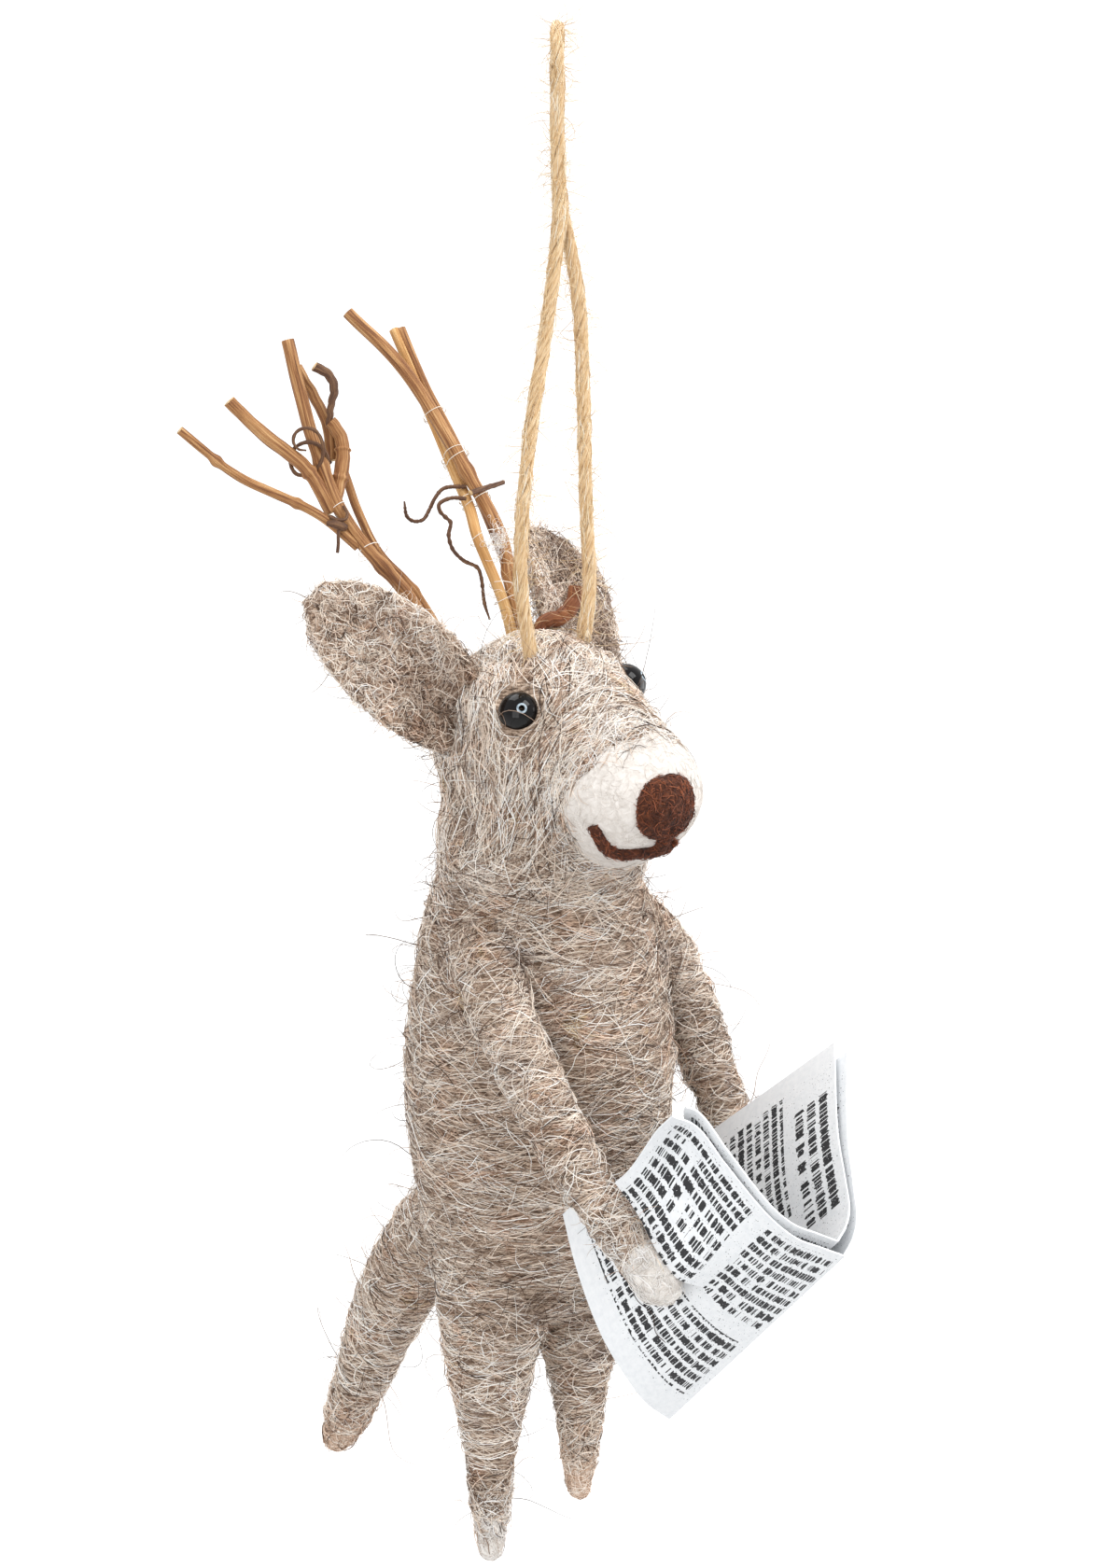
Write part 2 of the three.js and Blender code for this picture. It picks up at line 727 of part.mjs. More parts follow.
function paperPoint(across, along, inset, slitSide = 0) {
  const onRight = across < 0;
  const fold = fromShares(foldShares);
  const top = panelTop(onRight, along);
  const outward = top.clone().cross(fold).normalize().multiplyScalar(onRight ? -1 : 1);
  const bisector = panelTop(true, along).add(panelTop(false, along)).normalize();
  const start = foldBack.clone().addScaledVector(fold, foldLength * along).addScaledVector(bisector, 2 * inset);
  const end = foldBack.clone().addScaledVector(fold, foldLength * along).add(top).addScaledVector(outward, -inset);
  const share = Math.abs(across);
  const bow = onRight ? lerp(rightBackBow(share), rightFrontBow(share), along) : leftBow(share);
  const point = start.lerp(end, share).addScaledVector(outward, paperBow * bow);
  if (!onRight) return point;
  const opening = smoothstep(share, slitEndShare, 1);
  const lift = slitLift * opening * (1 - smoothstep(along, slitShare, 0.9));
  const pressed = smoothstep(share, slitEndShare, 0.7) * (1 - Math.abs(along - slitShare) / slitShare);
  const dent = slitSide < 0 ? slitDent : slitDent + sheetGap / 2;
  return point.addScaledVector(outward, slitSide > 0 ? lift : -dent * pressed);
}

const paperColumns = 9;
const paperRows = 16;
function outerSheet() {
  const slitColumn = Math.round(slitShare * paperColumns);
  return sheet({
    columns: paperColumns,
    rows: paperRows,
    place: (a, b, side) => paperPoint(1 - 2 * b, a, 0, side),
    thickness: even(paperThickness),
    slit: { column: slitColumn, from: Math.round(((1 + slitEndShare) / 2) * paperRows) },
  });
}

function innerSheet() {
  const inset = paperThickness + sheetGap;
  const peek = innerPeek / foldLength;
  const rise = innerRise / panelWidth;
  return sheet({
    columns: paperColumns,
    rows: paperRows,
    place: (a, b) => paperPoint(1 + rise - 2 * b, a + peek * (2 * b - 1), inset),
    thickness: even(paperThickness),
  });
}

// Twine: from one pit in the crown up to the loop's top and down to the other, points chosen by hand
const twineEnds = [-1, 1].map((side) => crown.clone().add(vec((side * twineSpread) / 2, 0, 0)));
const twineRoute = [
  vec(-8, 0, -86.7),
  vec(-7.5, 0, -73.7),
  vec(-5.8, -0.2, -60.8),
  vec(-3.7, -0.5, -50),
  vec(-1.8, -0.9, -38),
  vec(-0.9, -1.3, -28),
  vec(-1, -1, -16),
  vec(-1.5, -1.5, -7),
  vec(-2.33, -2.33, -2.2),
  vec(-1.65, -1.65, 0.13),
  vec(0, 0, 1.1),
  vec(1.65, 1.65, 0.13),
  vec(2.33, 2.33, -2.2),
  vec(1.5, 1.5, -7),
  vec(1, 1, -16),
  vec(1.6, 0.9, -27),
  vec(3.6, 0.4, -36),
  vec(5, 0, -45),
  vec(5.7, 0, -56.3),
  vec(6.4, 0, -76.3),
  vec(7.2, 0, -89.7),
];

function twineSolid() {
  const route = smoothPath([twineEnds[0], ...twineRoute, twineEnds[1]]);
  const section = new THREE.Shape(
    Array.from({ length: 8 }, (_, k) => {
      const turn = (2 * Math.PI * k) / 8;
      return new THREE.Vector2(Math.cos(turn), Math.sin(turn)).multiplyScalar(twineThickness / 2);
    }),
  );
  return solid(new THREE.ExtrudeGeometry(section, { extrudePath: route, steps: 60, curveSegments: 1 }));
}

// Ears: cupped leaves of wool
function earSolid(side, axisShares, frontShares) {
  const root = headSurface(headCentre, headDirection(earTurnShares, side));
  const axis = fromShares(axisShares);
  const front = vec(...frontShares);
  front.addScaledVector(axis, -front.dot(axis)).normalize();
  const across = axis.clone().cross(front);
  const outline = profile([0, 0.25, 0.5, 0.72, 0.88, 1], [0.62, 0.88, 1, 0.93, 0.68, 0.24]);
  return sheet({
    columns: 8,
    rows: 10,
    place: (a, b) => {
      const [w, share] = [2 * a - 1, b];
      const point = root.clone().addScaledVector(axis, lerp(-earRoot, earLength, share));
      point.addScaledVector(across, (earWidth / 2) * outline(share) * Math.sin((w * Math.PI) / 2));
      return point.addScaledVector(front, earCup * w * w * lerp(1, 0.5, share) * outline(share) ** 2);
    },
    thickness: (a, b) => {
      const edge = Math.sqrt(Math.max(1 - (2 * a - 1) ** 2, 0));
      return earThickness * lerp(0.3, 1, edge) * lerp(1, 0.55, b ** 3);
    },
  });
}

// Face: the muzzle's surface, its nose and its smile
const muzzleSolid = (grow) =>
  ball(muzzleCentre, muzzleWidth + 2 * grow, muzzleDepth + 2 * grow, muzzleHeight + 2 * grow, 18);

// A point on the muzzle at a turn from the front and a height, stood out by a margin
function onMuzzle(turn, height, margin) {
  const level = Math.sqrt(1 - (2 * height / muzzleHeight) ** 2);
  const point = muzzleCentre.clone();
  point.x += Math.sin(turn) * ((muzzleWidth / 2) * level + margin);
  point.y -= Math.cos(turn) * ((muzzleDepth / 2) * level + margin);
  point.z += height;
  return point;
}

const noseTurn = -Math.asin(noseAside / (muzzleWidth / 2));
function noseSolid(grow) {
  const centre = onMuzzle(noseTurn, noseRise, noseProud - noseDepth / 2);
  return ball(centre, noseWidth + 2 * grow, noseDepth + 2 * grow, noseHeight + 2 * grow, 14);
}

function mouthSolid() {
  const reach = smileTurnShare * Math.PI;
  const smile = [];
  for (let k = -6; k <= 6; k++) {
    const height = -mouthDrop + smileRise * (k / 6) ** 4;
    smile.push(onMuzzle(noseTurn + (reach * k) / 6, height, 0));
  }
  const radiusAt = even(mouthThickness / 2);
  const smileTube = limb({ curve: smoothPath(smile), radiusAt, rings: 14, sides: 6, startCap: 1 });
  const stemRadiusAt = even(mouthStemThickness / 2);
  const stem = new THREE.LineCurve3(onMuzzle(noseTurn, noseRise - noseHeight / 4, 0), smile[6]);
  return smileTube.add(limb({ curve: stem, radiusAt: stemRadiusAt, rings: 2, sides: 8, startCap: 1 }));
}

function eyeSolid(side, grow) {
  const direction = headDirection(eyeTurnShares, side);
  const centre = headSurface(headCentre, direction).addScaledVector(direction, -eyeSunk);
  const size = eyeDiameter + 2 * grow;
  const bead = ball(centre, size, size, size, 12);
  if (grow > 0) return bead;
  const bore = new THREE.LineCurve3(
    centre.clone().addScaledVector(direction, -eyeDiameter),
    centre.clone().addScaledVector(direction, eyeDiameter),
  );
  return bead.subtract(limb({ curve: bore, radiusAt: even(eyeBore / 2), rings: 1, sides: 8, endCap: 0 }));
}

// Wool pieces, each cut by the larger ones that it is felted to
const torso = torsoSolid(0);
const torsoRoom = torsoSolid(seatGap);
const headRoom = headSolid(seatGap);
const armWireRoom = wireSolid("arm_wire", wireGap);
const legWireRoom = wireSolid("leg_wire", wireGap);
const tailWireRoom = wireSolid("tail_wire", wireGap);
const rootedTwigs = twigs.filter((twig) => twig.rootShares);

add("body", cut(torso, [armWireRoom, legWireRoom, tailWireRoom]), "wool");
const pits = twineEnds.map((end) => {
  const size = twineThickness + 2 * twinePitClearance;
  return ball(end, size, size, size, 10);
});
const headSockets = [-1, 1].map((side) => eyeSolid(side, seatGap));
const twigSockets = rootedTwigs.map((twig) => twigSolid(twig, seatGap));
add("head", cut(headSolid(0), [torsoRoom, ...pits, ...headSockets, ...twigSockets]), "wool");
add("muzzle", cut(muzzleSolid(0), [headRoom, torsoRoom]), "white");
add("nose", cut(noseSolid(0), [muzzleSolid(seatGap), headRoom]), "nose");
add("mouth", cut(mouthSolid(), [muzzleSolid(seatGap), noseSolid(seatGap), headRoom]), "nose");
add("right_eye_bead", eyeSolid(-1, 0), "glass", 0.05);
add("left_eye_bead", eyeSolid(1, 0), "glass", 0.05);
const earTools = [headRoom, ...twigSockets];
add("right_ear", cut(earSolid(-1, rightEarAxisShares, rightEarFrontShares), earTools), "wool");
add("left_ear", cut(earSolid(1, leftEarAxisShares, leftEarFrontShares), earTools), "wool");

for (const [side, form] of Object.entries(arms)) {
  const { arm, hand } = armSolids(form, 0);
  add(`${side}_arm`, cut(arm, [torsoRoom, armWireRoom]), "darkWool");
  add(`${side}_hand`, cut(hand, [armWireRoom]), "white");
}
const legRoom = [torsoRoom, legWireRoom];
for (const name of ["right_leg", "left_leg"]) {
  const { trunk, tip } = taperedSolids(limbs[name], 0);
  add(name, cut(trunk, legRoom), "wool");
  add(limbs[name].tipName, cut(tip, [legWireRoom]), limbs[name].tipColour);
}
const legTrunkRoom = ["right_leg", "left_leg"].map((name) => taperedSolids(limbs[name], seatGap).trunk);
const tailParts = taperedSolids(limbs.tail, 0);
add("tail", cut(tailParts.trunk, [torsoRoom, tailWireRoom, ...legTrunkRoom]), "darkWool");
add("tail_tip", cut(tailParts.tip, [tailWireRoom]), "pale");
for (const name of Object.keys(wires)) add(name, wireSolid(name, 0), "wire", 0.4, 0.9);

// Antlers, each twig cut by the ones that it is bound to
const placed = [];
for (const twig of twigs) {
  const made = add(twig.name, cut(twigSolid(twig, 0), placed), twig.colour ?? "twig", 0.7);
  placed.push(twigSolid(twig, seatGap));
  if (made.isEmpty()) throw new Error(`${twig.name} is empty`);
}
const stalk = limb({
  curve: stalkLine,
  radiusAt: (share) => (stalkThickness / 2) * stalkSwell(share),
  rings: 8,
  sides: 6,
  endCap: 0,
});
add("right_antler_leaf_stalk", cut(stalk, placed), "bark", 0.8);
const pegRoom = (grow) => limb({ curve: pegLine, radiusAt: even(pegThickness / 2), rings: 2, sides: 6, endCap: 0, grow });
add("left_antler_cross_peg", cut(pegRoom(0), placed), "bark", 0.8);
const chip = limb({
  curve: chipLine,
  radiusAt: (share) => (chipWidth / 2) * chipSwell(share),
  rings: 8,
  sides: 6,
  endCap: 0,
});
add("bark_chip", cut(chip, [headRoom, ...placed]), "chip", 0.7);
const tendrilRoom = [...placed, headRoom, pegRoom(seatGap)];
for (const [name, tendril] of Object.entries(tendrils)) {
  add(name, cut(tendrilSolid(tendril), tendrilRoom), "bark", 0.8);
}

add("newspaper_outer_sheet", outerSheet(), "paper", 0.85);
add("newspaper_inner_sheet", innerSheet(), "paper", 0.85);
add("hanging_twine", twineSolid(), "twine");

export default pieces;
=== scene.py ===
import math

import bpy
import numpy as np
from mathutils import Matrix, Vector, noise
from mathutils.bvhtree import BVHTree


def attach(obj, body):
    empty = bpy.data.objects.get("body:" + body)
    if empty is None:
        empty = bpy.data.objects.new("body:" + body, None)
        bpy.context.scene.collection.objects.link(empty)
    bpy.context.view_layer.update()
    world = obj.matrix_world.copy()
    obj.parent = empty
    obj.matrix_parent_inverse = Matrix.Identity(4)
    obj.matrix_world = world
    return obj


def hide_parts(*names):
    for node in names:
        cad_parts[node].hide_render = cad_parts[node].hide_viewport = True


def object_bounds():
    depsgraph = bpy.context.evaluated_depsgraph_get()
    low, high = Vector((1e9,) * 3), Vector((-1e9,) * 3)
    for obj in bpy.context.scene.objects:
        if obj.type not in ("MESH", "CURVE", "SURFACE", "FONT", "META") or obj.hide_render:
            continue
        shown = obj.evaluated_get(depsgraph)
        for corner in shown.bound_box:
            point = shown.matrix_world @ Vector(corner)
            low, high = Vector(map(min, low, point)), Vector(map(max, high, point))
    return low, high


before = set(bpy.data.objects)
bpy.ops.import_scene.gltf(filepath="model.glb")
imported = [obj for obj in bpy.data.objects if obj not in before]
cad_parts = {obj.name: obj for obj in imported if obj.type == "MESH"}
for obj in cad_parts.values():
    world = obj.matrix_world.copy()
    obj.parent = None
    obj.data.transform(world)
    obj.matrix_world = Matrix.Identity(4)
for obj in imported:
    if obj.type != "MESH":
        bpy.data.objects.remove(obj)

cad_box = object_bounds()
bpy.ops.object.select_all(action="DESELECT")

# Camera: it looks at the deer's right side from a little above, through a long lens that keeps the
# ornament's proportions, and takes in the loop from its top down to the feet.
MM = 0.001
view_height = 247
focal_length, sensor_height = 300, 36
look_at = Vector((-3.62, -4.24, -119.24)) * MM
round_share, rise = math.radians(-45), math.radians(15)
toward_camera = Vector((
    math.sin(round_share) * math.cos(rise),
    -math.cos(round_share) * math.cos(rise),
    math.sin(rise),
))
bpy.ops.object.camera_add(
    location=look_at + toward_camera * view_height * MM * focal_length / sensor_height,
    rotation=(-toward_camera).to_track_quat("-Z", "Y").to_euler(),
)
camera = bpy.context.object
camera.data.lens = focal_length
camera.data.sensor_width = sensor_height
camera.data.clip_end = 50
bpy.context.scene.camera = camera
bpy.context.scene.view_settings.view_transform = "Standard"


# Hanging twine: strands of jute laid together with a slow twist, 2.2 mm thick, one length of it bent into a
# loop with both ends pushed into the crown. Jute is a stiff, pale golden fibre that frays into whiskers.
def linear(colour):
    """An sRGB hex colour as Blender's linear RGBA."""
    channels = [int(colour[k:k + 2], 16) / 255 for k in (1, 3, 5)]
    return [c / 12.92 if c <= 0.04045 else ((c + 0.055) / 1.055) ** 2.4 for c in channels] + [1]


def join(material, node, socket, source):
    """Sets a socket of a node from a value, another socket or another node's first output."""
    if isinstance(source, bpy.types.Node):
        source = source.outputs[0]
    if isinstance(source, bpy.types.NodeSocket):
        material.node_tree.links.new(source, node.inputs[socket])
    else:
        node.inputs[socket].default_value = source


def add_node(material, kind, links=None, stops=None, **settings):
    """Adds a node to a material: settings by name, sockets as join takes them, and the stops of a ramp."""
    made = material.node_tree.nodes.new(kind)
    for name, value in settings.items():
        setattr(made, name, value)
    if stops:
        ramp = made.color_ramp
        ramp.elements.remove(ramp.elements[1])
        ramp.elements[0].position, ramp.elements[0].color = stops[0][0], linear(stops[0][1])
        for place, colour in stops[1:]:
            ramp.elements.new(place).color = linear(colour)
    for socket, source in (links or {}).items():
        join(material, made, socket, source)
    return made


def new_finish(name, **sockets):
    """A named material and its shader, whose even values are set on the sockets themselves."""
    material = bpy.data.materials.new(name)
    material.use_nodes = True
    shader = material.node_tree.nodes["Principled BSDF"]
    for socket, value in sockets.items():
        join(material, shader, socket.replace("_", " "), value)
    return material, shader


def finish_with(material, shader, colour, height=None, depth=0.1, strength=0.6):
    """Joins a colour to the shader, and a height for a bump that is depth in mm deep."""
    join(material, shader, "Base Color", colour)
    if height is not None:
        bump = add_node(material, "ShaderNodeBump",
                        {"Height": height, "Distance": depth * MM, "Strength": strength})
        join(material, shader, "Normal", bump)


def steps_along(line):
    """How far it is from each point of a line to the next."""
    return np.linalg.norm(np.diff(line, axis=0), axis=1)


def line_length(line):
    """The whole length of a line of points."""
    return float(steps_along(line).sum())


def smooth_line(points, count):
    """A smooth line through points, given back as that many evenly spaced points."""
    p = np.array(points, float)
    p = np.vstack([2 * p[0] - p[1], p, 2 * p[-1] - p[-2]])
    knots = np.concatenate([[0], np.cumsum(steps_along(p) ** 0.5)])
    drawn = []

    def between(first, last, low, high, t):
        width = knots[high] - knots[low]
        return (knots[high] - t) / width * first + (t - knots[low]) / width * last

    for k in range(1, len(p) - 2):
        t = np.linspace(knots[k], knots[k + 1], 24, endpoint=False)[:, None]
        a = [between(p[j], p[j + 1], j, j + 1, t) for j in (k - 1, k, k + 1)]
        b = [between(a[0], a[1], k - 1, k + 1, t), between(a[1], a[2], k, k + 2, t)]
        drawn.append(between(b[0], b[1], k, k + 1, t))
    drawn = np.vstack(drawn + [p[-2:-1]])
    run = np.concatenate([[0], np.cumsum(steps_along(drawn))])
    even = np.linspace(0, run[-1], count)
    return np.stack([np.interp(even, run, drawn[:, axis]) for axis in range(3)], 1)


def waves(count, pace, row=0, layer=0):
    """Soft ups and downs along a line of points. Each row and layer has waves of its own."""
    return np.array([noise.noise(Vector((i * pace, row, layer))) for i in range(count)])


def unit(vectors):
    """The same directions, all of length 1."""
    return vectors / np.maximum(np.linalg.norm(vectors, axis=-1, keepdims=True), 1e-9)


def carried_frames(lines):
    """Directions along and across each line, the latter carried along it without a twist."""
    along = unit(np.gradient(lines, axis=1))
    helper = np.where(np.abs(along[:, :1, 2:]) < 0.9, [[[0.0, 0, 1]]], [[[1.0, 0, 0]]])
    side = unit(np.cross(along[:, 0], helper[:, 0]))
    sides = [side]
    for k in range(1, lines.shape[1]):
        side = unit(side - (side * along[:, k]).sum(1, keepdims=True) * along[:, k])
        sides.append(side)
    sides = np.stack(sides, 1)
    return along, sides, np.cross(along, sides)


def spokes_round(lines, sides):
    """Directions out from each point of the lines, as many as a tube has sides."""
    _, across, up = carried_frames(lines)
    turn = np.arange(sides) * 2 * np.pi / sides
    return across[:, :, None] * np.cos(turn)[:, None] + up[:, :, None] * np.sin(turn)[:, None]


def add_piece(name, mesh, finishes):
    """Puts a mesh into the scene with its finishes."""
    for finish in finishes:
        mesh.materials.append(finish)
    piece = bpy.data.objects.new(name, mesh)
    bpy.context.collection.objects.link(piece)
    return piece


def skin_faces(skins, count, sides):
    """The faces of closed skins: the squares between their rings, and the triangles round their poles."""
    first = (np.arange(skins) * (count * sides + 2))[:, None, None]
    ring, side = np.arange(count - 1)[None, :, None] * sides, np.arange(sides)[None, None, :]
    after = (side + 1) % sides
    squares = np.stack([first + ring + side, first + ring + after, first + ring + sides + after,
                        first + ring + sides + side], -1).reshape(-1, 4)
    side, after, first = side[0], after[0], first[:, :, 0]
    last = first + (count - 1) * sides
    pole = np.broadcast_to(first + count * sides, (skins, sides))
    caps = np.stack([np.stack([pole, first + after, first + side], -1),
                     np.stack([pole + 1, last + side, last + after], -1)], 1).reshape(-1, 3)
    return squares, caps


def skin_map(skins, count, sides, across, along, cap_count):
    """The map of closed skins, across wide and along long in mm. Each cap's triangle has 1 mm of its own."""
    k, i = np.meshgrid(np.arange(sides), np.arange(count - 1))
    square = np.stack([np.stack([k, i], -1), np.stack([k + 1, i], -1), np.stack([k + 1, i + 1], -1),
                       np.stack([k, i + 1], -1)], 2).reshape(-1, 4, 2).astype(float)
    square = np.tile(square, (skins, 1, 1)) * [across / sides, along / (count - 1)]
    cap = np.tile([[0.0, 0], [1, 0], [0, 1]], (cap_count, 1))
    return np.concatenate([square.reshape(-1, 2), cap])


def closed_mesh(name, rings, ends, finishes, tones=None, uv=None):
    """One mesh of closed skins. rings is skins x rings x sides x 3 in mm, and ends their two poles. A second
    finish is for the caps, tones has one tone for each skin, and uv the size of the map named along."""
    skins, count, sides = rings.shape[:3]
    corners = np.concatenate([rings.reshape(skins, -1, 3), ends], 1)
    squares, caps = skin_faces(skins, count, sides)
    loops = np.concatenate([squares.ravel(), caps.ravel()])
    starts = np.concatenate([np.arange(len(squares)) * 4, len(squares) * 4 + np.arange(len(caps)) * 3])
    mesh = bpy.data.meshes.new(name)
    mesh.vertices.add(skins * corners.shape[1])
    mesh.vertices.foreach_set("co", (corners.reshape(-1) * MM).astype(np.float32))
    mesh.loops.add(len(loops))
    mesh.loops.foreach_set("vertex_index", loops.astype(np.int32))
    mesh.polygons.add(len(starts))
    mesh.polygons.foreach_set("loop_start", starts.astype(np.int32))
    mesh.polygons.foreach_set("use_smooth", np.ones(len(starts), bool))
    if len(finishes) > 1:
        mesh.polygons.foreach_set("material_index", (np.arange(len(starts)) >= len(squares)).astype(np.int32))
    if uv is not None:
        flat = skin_map(skins, count, sides, *uv, len(caps))
        mesh.uv_layers.new(name="along").data.foreach_set("uv", flat.astype(np.float32).ravel())
    if tones is not None:
        layer = mesh.attributes.new("tone", "FLOAT", "POINT")
        layer.data.foreach_set("value", np.repeat(tones, corners.shape[1]).astype(np.float32))
    mesh.update(calc_edges=True)
    mesh.validate()
    return add_piece(name, mesh, finishes)


def tubes(name, lines, radii, sides, finishes, tones=None, uv=None, pointed=False):
    """One mesh of closed tubes along lines, tubes x points x 3. radii is tubes x points, or has each side's
    too. Pointed tubes run out to nothing at both ends."""
    lines, radii = np.asarray(lines, float), np.asarray(radii, float)
    reach = radii[..., None] if radii.ndim == 3 else radii[..., None, None]
    rings = lines[:, :, None] + spokes_round(lines, sides) * reach
    return closed_mesh(name, rings[:, 1:-1] if pointed else rings, lines[:, [0, -1]], finishes, tones, uv)


def surface_of(pieces):
    """Corners in mm and triangles of one piece or several."""
    corners, triangles, count = [], [], 0
    for piece in pieces:
        mesh = piece.data
        mesh.calc_loop_triangles()
        co = np.empty(len(mesh.vertices) * 3, np.float32)
        mesh.vertices.foreach_get("co", co)
        tri = np.empty(len(mesh.loop_triangles) * 3, np.int32)
        mesh.loop_triangles.foreach_get("vertices", tri)
        corners.append(co.reshape(-1, 3) / MM)
        triangles.append(tri.reshape(-1, 3) + count)
        count += len(mesh.vertices)
    return np.vstack(corners), np.vstack(triangles)


def random_places(rng, corners, triangles, count):
    """Random places, spread evenly over triangles, and the normals there."""
    a, b, c = (corners[triangles[:, k]] for k in range(3))
    face = np.cross(b - a, c - a)
    sizes = np.linalg.norm(face, axis=1)
    pick = rng.choice(len(triangles), count, p=sizes / sizes.sum())
    share = np.sort(rng.random((count, 2)), 1)
    places = a[pick] * share[:, :1] + b[pick] * (share[:, 1:] - share[:, :1]) + c[pick] * (1 - share[:, 1:])
    return places, unit(face[pick])


def cloudy(places, size=7):
    """Soft light and dark clouds, size in mm across, up to 0.9 up and down."""
    return 0.9 * np.array([noise.noise(Vector(p / size)) for p in places])


# How many places are drawn for each fibre that lies only where keep says.
spare_draws = 12


def lay_fibres(name, pieces, lay, finish, count, length, thickness=0.11, wander=0.35, curl=0.25, lift=0.25,
               steps=7, seed=1, keep=None, sink=0.06, shade=None, clear=None):
    """Fibres that lie on the surface of pieces, with their length and thickness in mm. lay(places, normals)
    gives the direction in which they lie there; wander turns each fibre from it, curl bends it on its way,
    lift raises its middle and sink lowers its ends. keep picks the places where they start, shade(places)
    scales their tones to paint shade in creases and hollows and light towards the top, and clear(places)
    is false where none may pass."""
    rng = np.random.default_rng(seed)
    corners, triangles = surface_of(pieces)
    tree = BVHTree.FromPolygons(corners.tolist(), triangles.tolist())
    place, _ = random_places(rng, corners, triangles, count * (1 if keep is None else spare_draws))
    if keep is not None:
        place = place[keep(place)][:count]
    count = len(place)
    tones = 0.04 + 0.96 * rng.random(count) + 0.4 * cloudy(place)
    tones = np.clip(tones * (1 if shade is None else shade(place)), 0, 1)
    stride = (length * rng.uniform(0.5, 1.4, count) / (steps - 1))[:, None]
    heading = rng.normal(0, wander, count) + np.pi * rng.integers(0, 2, count)
    bend = rng.normal(0, curl, count)
    lines, outs = np.empty((count, steps, 3)), np.empty((count, steps, 3))
    direction = None
    for step in range(steps):
        hits = [tree.find_nearest(spot) for spot in place]
        place = np.array([hit[0] for hit in hits])
        normal = unit(np.array([hit[1] for hit in hits]))
        lines[:, step], outs[:, step] = place, normal
        if direction is None:
            direction, turn = lay(place, normal), heading
        else:
            turn = bend + rng.normal(0, curl * 0.6, count)
        direction = unit(direction - (direction * normal).sum(1, keepdims=True) * normal)
        direction = direction * np.cos(turn)[:, None] + np.cross(normal, direction) * np.sin(turn)[:, None]
        place = place + direction * stride
    arch = np.sin(np.linspace(0, np.pi, steps))
    raised = np.abs(rng.normal(0, lift, count))[:, None] * arch
    height = raised + rng.normal(0, 0.03, (count, steps)) - sink * (1 - arch)
    lines = lines + outs * height[..., None]
    radii = np.outer(rng.uniform(0.5, 1.7, count) * thickness / 2, 0.35 + 0.65 * arch ** 0.5)
    if clear is not None:
        free = clear(lines).all(1)
        lines, radii, tones = lines[free], radii[free], tones[free]
    return tubes(name, lines, radii, 3, [finish], tones, pointed=True)


def scatter(pieces, count, seed):
    """Random places on the surface of pieces, with the normals there."""
    return random_places(np.random.default_rng(seed), *surface_of(pieces), count)


def stray_fibres(name, starts, normals, finish, length, thickness, seed, steps=9, curl=0.35, tones=(0.3, 1)):
    """Loose fibres that leave the surface at starts and wave about in the air."""
    rng = np.random.default_rng(seed)
    count = len(starts)
    direction = unit(normals + rng.normal(0, 0.75, (count, 3)))
    stride = length * rng.uniform(0.35, 1.3, (count, 1)) / (steps - 1)
    bend = rng.normal(0, curl, (count, 3))
    place, lines = starts - 0.3 * normals, []
    for _ in range(steps):
        lines.append(place)
        bend = bend + rng.normal(0, curl * 0.45, (count, 3))
        direction = unit(direction + np.cross(bend, direction) * 0.6)
        place = place + direction * stride
    radii = np.outer(rng.uniform(0.7, 1.2, count) * thickness / 2, np.linspace(1, 0.35, steps))
    return tubes(name, np.stack(lines, 1), radii, 3, [finish], rng.uniform(*tones, count), pointed=True)


def streaked_finish(name, stops, per_mm, breaks, depth, **sockets):
    """A finish with streaks along the piece, per_mm of them across and along it. breaks says how broken they
    are, and depth how deep, in mm."""
    material, shader = new_finish(name, **sockets)
    strip = add_node(material, "ShaderNodeUVMap", uv_map="along")
    drawn = add_node(material, "ShaderNodeMapping", {"Vector": strip, "Scale": (*per_mm, 1)})
    streaks = add_node(material, "ShaderNodeTexNoise",
                       {"Vector": drawn, "Scale": 1, "Detail": 6, "Roughness": breaks})
    tint = add_node(material, "ShaderNodeValToRGB", {"Fac": streaks}, stops)
    finish_with(material, shader, tint, streaks, depth, 0.8)
    return material


def fibre_finish(name, stops, patches=None, roughness=0.8, sheen=0.1, specular=0.2):
    """Single fibres, each with its own tone between stops."""
    material, shader = new_finish(name, Roughness=roughness, Sheen_Weight=sheen, Specular_IOR_Level=specular)
    tone = add_node(material, "ShaderNodeAttribute", attribute_name="tone").outputs["Fac"]
    colour = add_node(material, "ShaderNodeValToRGB", {"Fac": tone}, stops)
    if patches:
        colour = add_patches(material, colour, patches)
    finish_with(material, shader, colour)
    return material


def dress(pieces, body="figure"):
    """Says which body carries pieces."""
    for piece in pieces:
        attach(piece, body)


twine_thickness, strand_thickness, strand_pitch, strand_count, strand_girth = 2.2, 0.82, 13.0, 6, 2.6
twine_route = [
    (-6, 0, -98.5), (-8, 0, -86.7), (-7.5, 0, -73.7), (-5.8, -0.2, -60.8), (-3.7, -0.5, -50),
    (-1.8, -0.9, -38), (-0.9, -1.3, -28), (-1, -1, -16), (-1.5, -1.5, -7), (-2.33, -2.33, -2.2),
    (-1.65, -1.65, 0.13), (0, 0, 1.1), (1.65, 1.65, 0.13), (2.33, 2.33, -2.2), (1.5, 1.5, -7),
    (1, 1, -16), (1.6, 0.9, -27), (3.6, 0.4, -36), (5, 0, -45), (5.7, 0, -56.3), (6.4, 0, -76.3),
    (7.2, 0, -89.7), (6, 0, -98.5),
]
twine_line = smooth_line(twine_route, 560)
twine_length = line_length(twine_line)

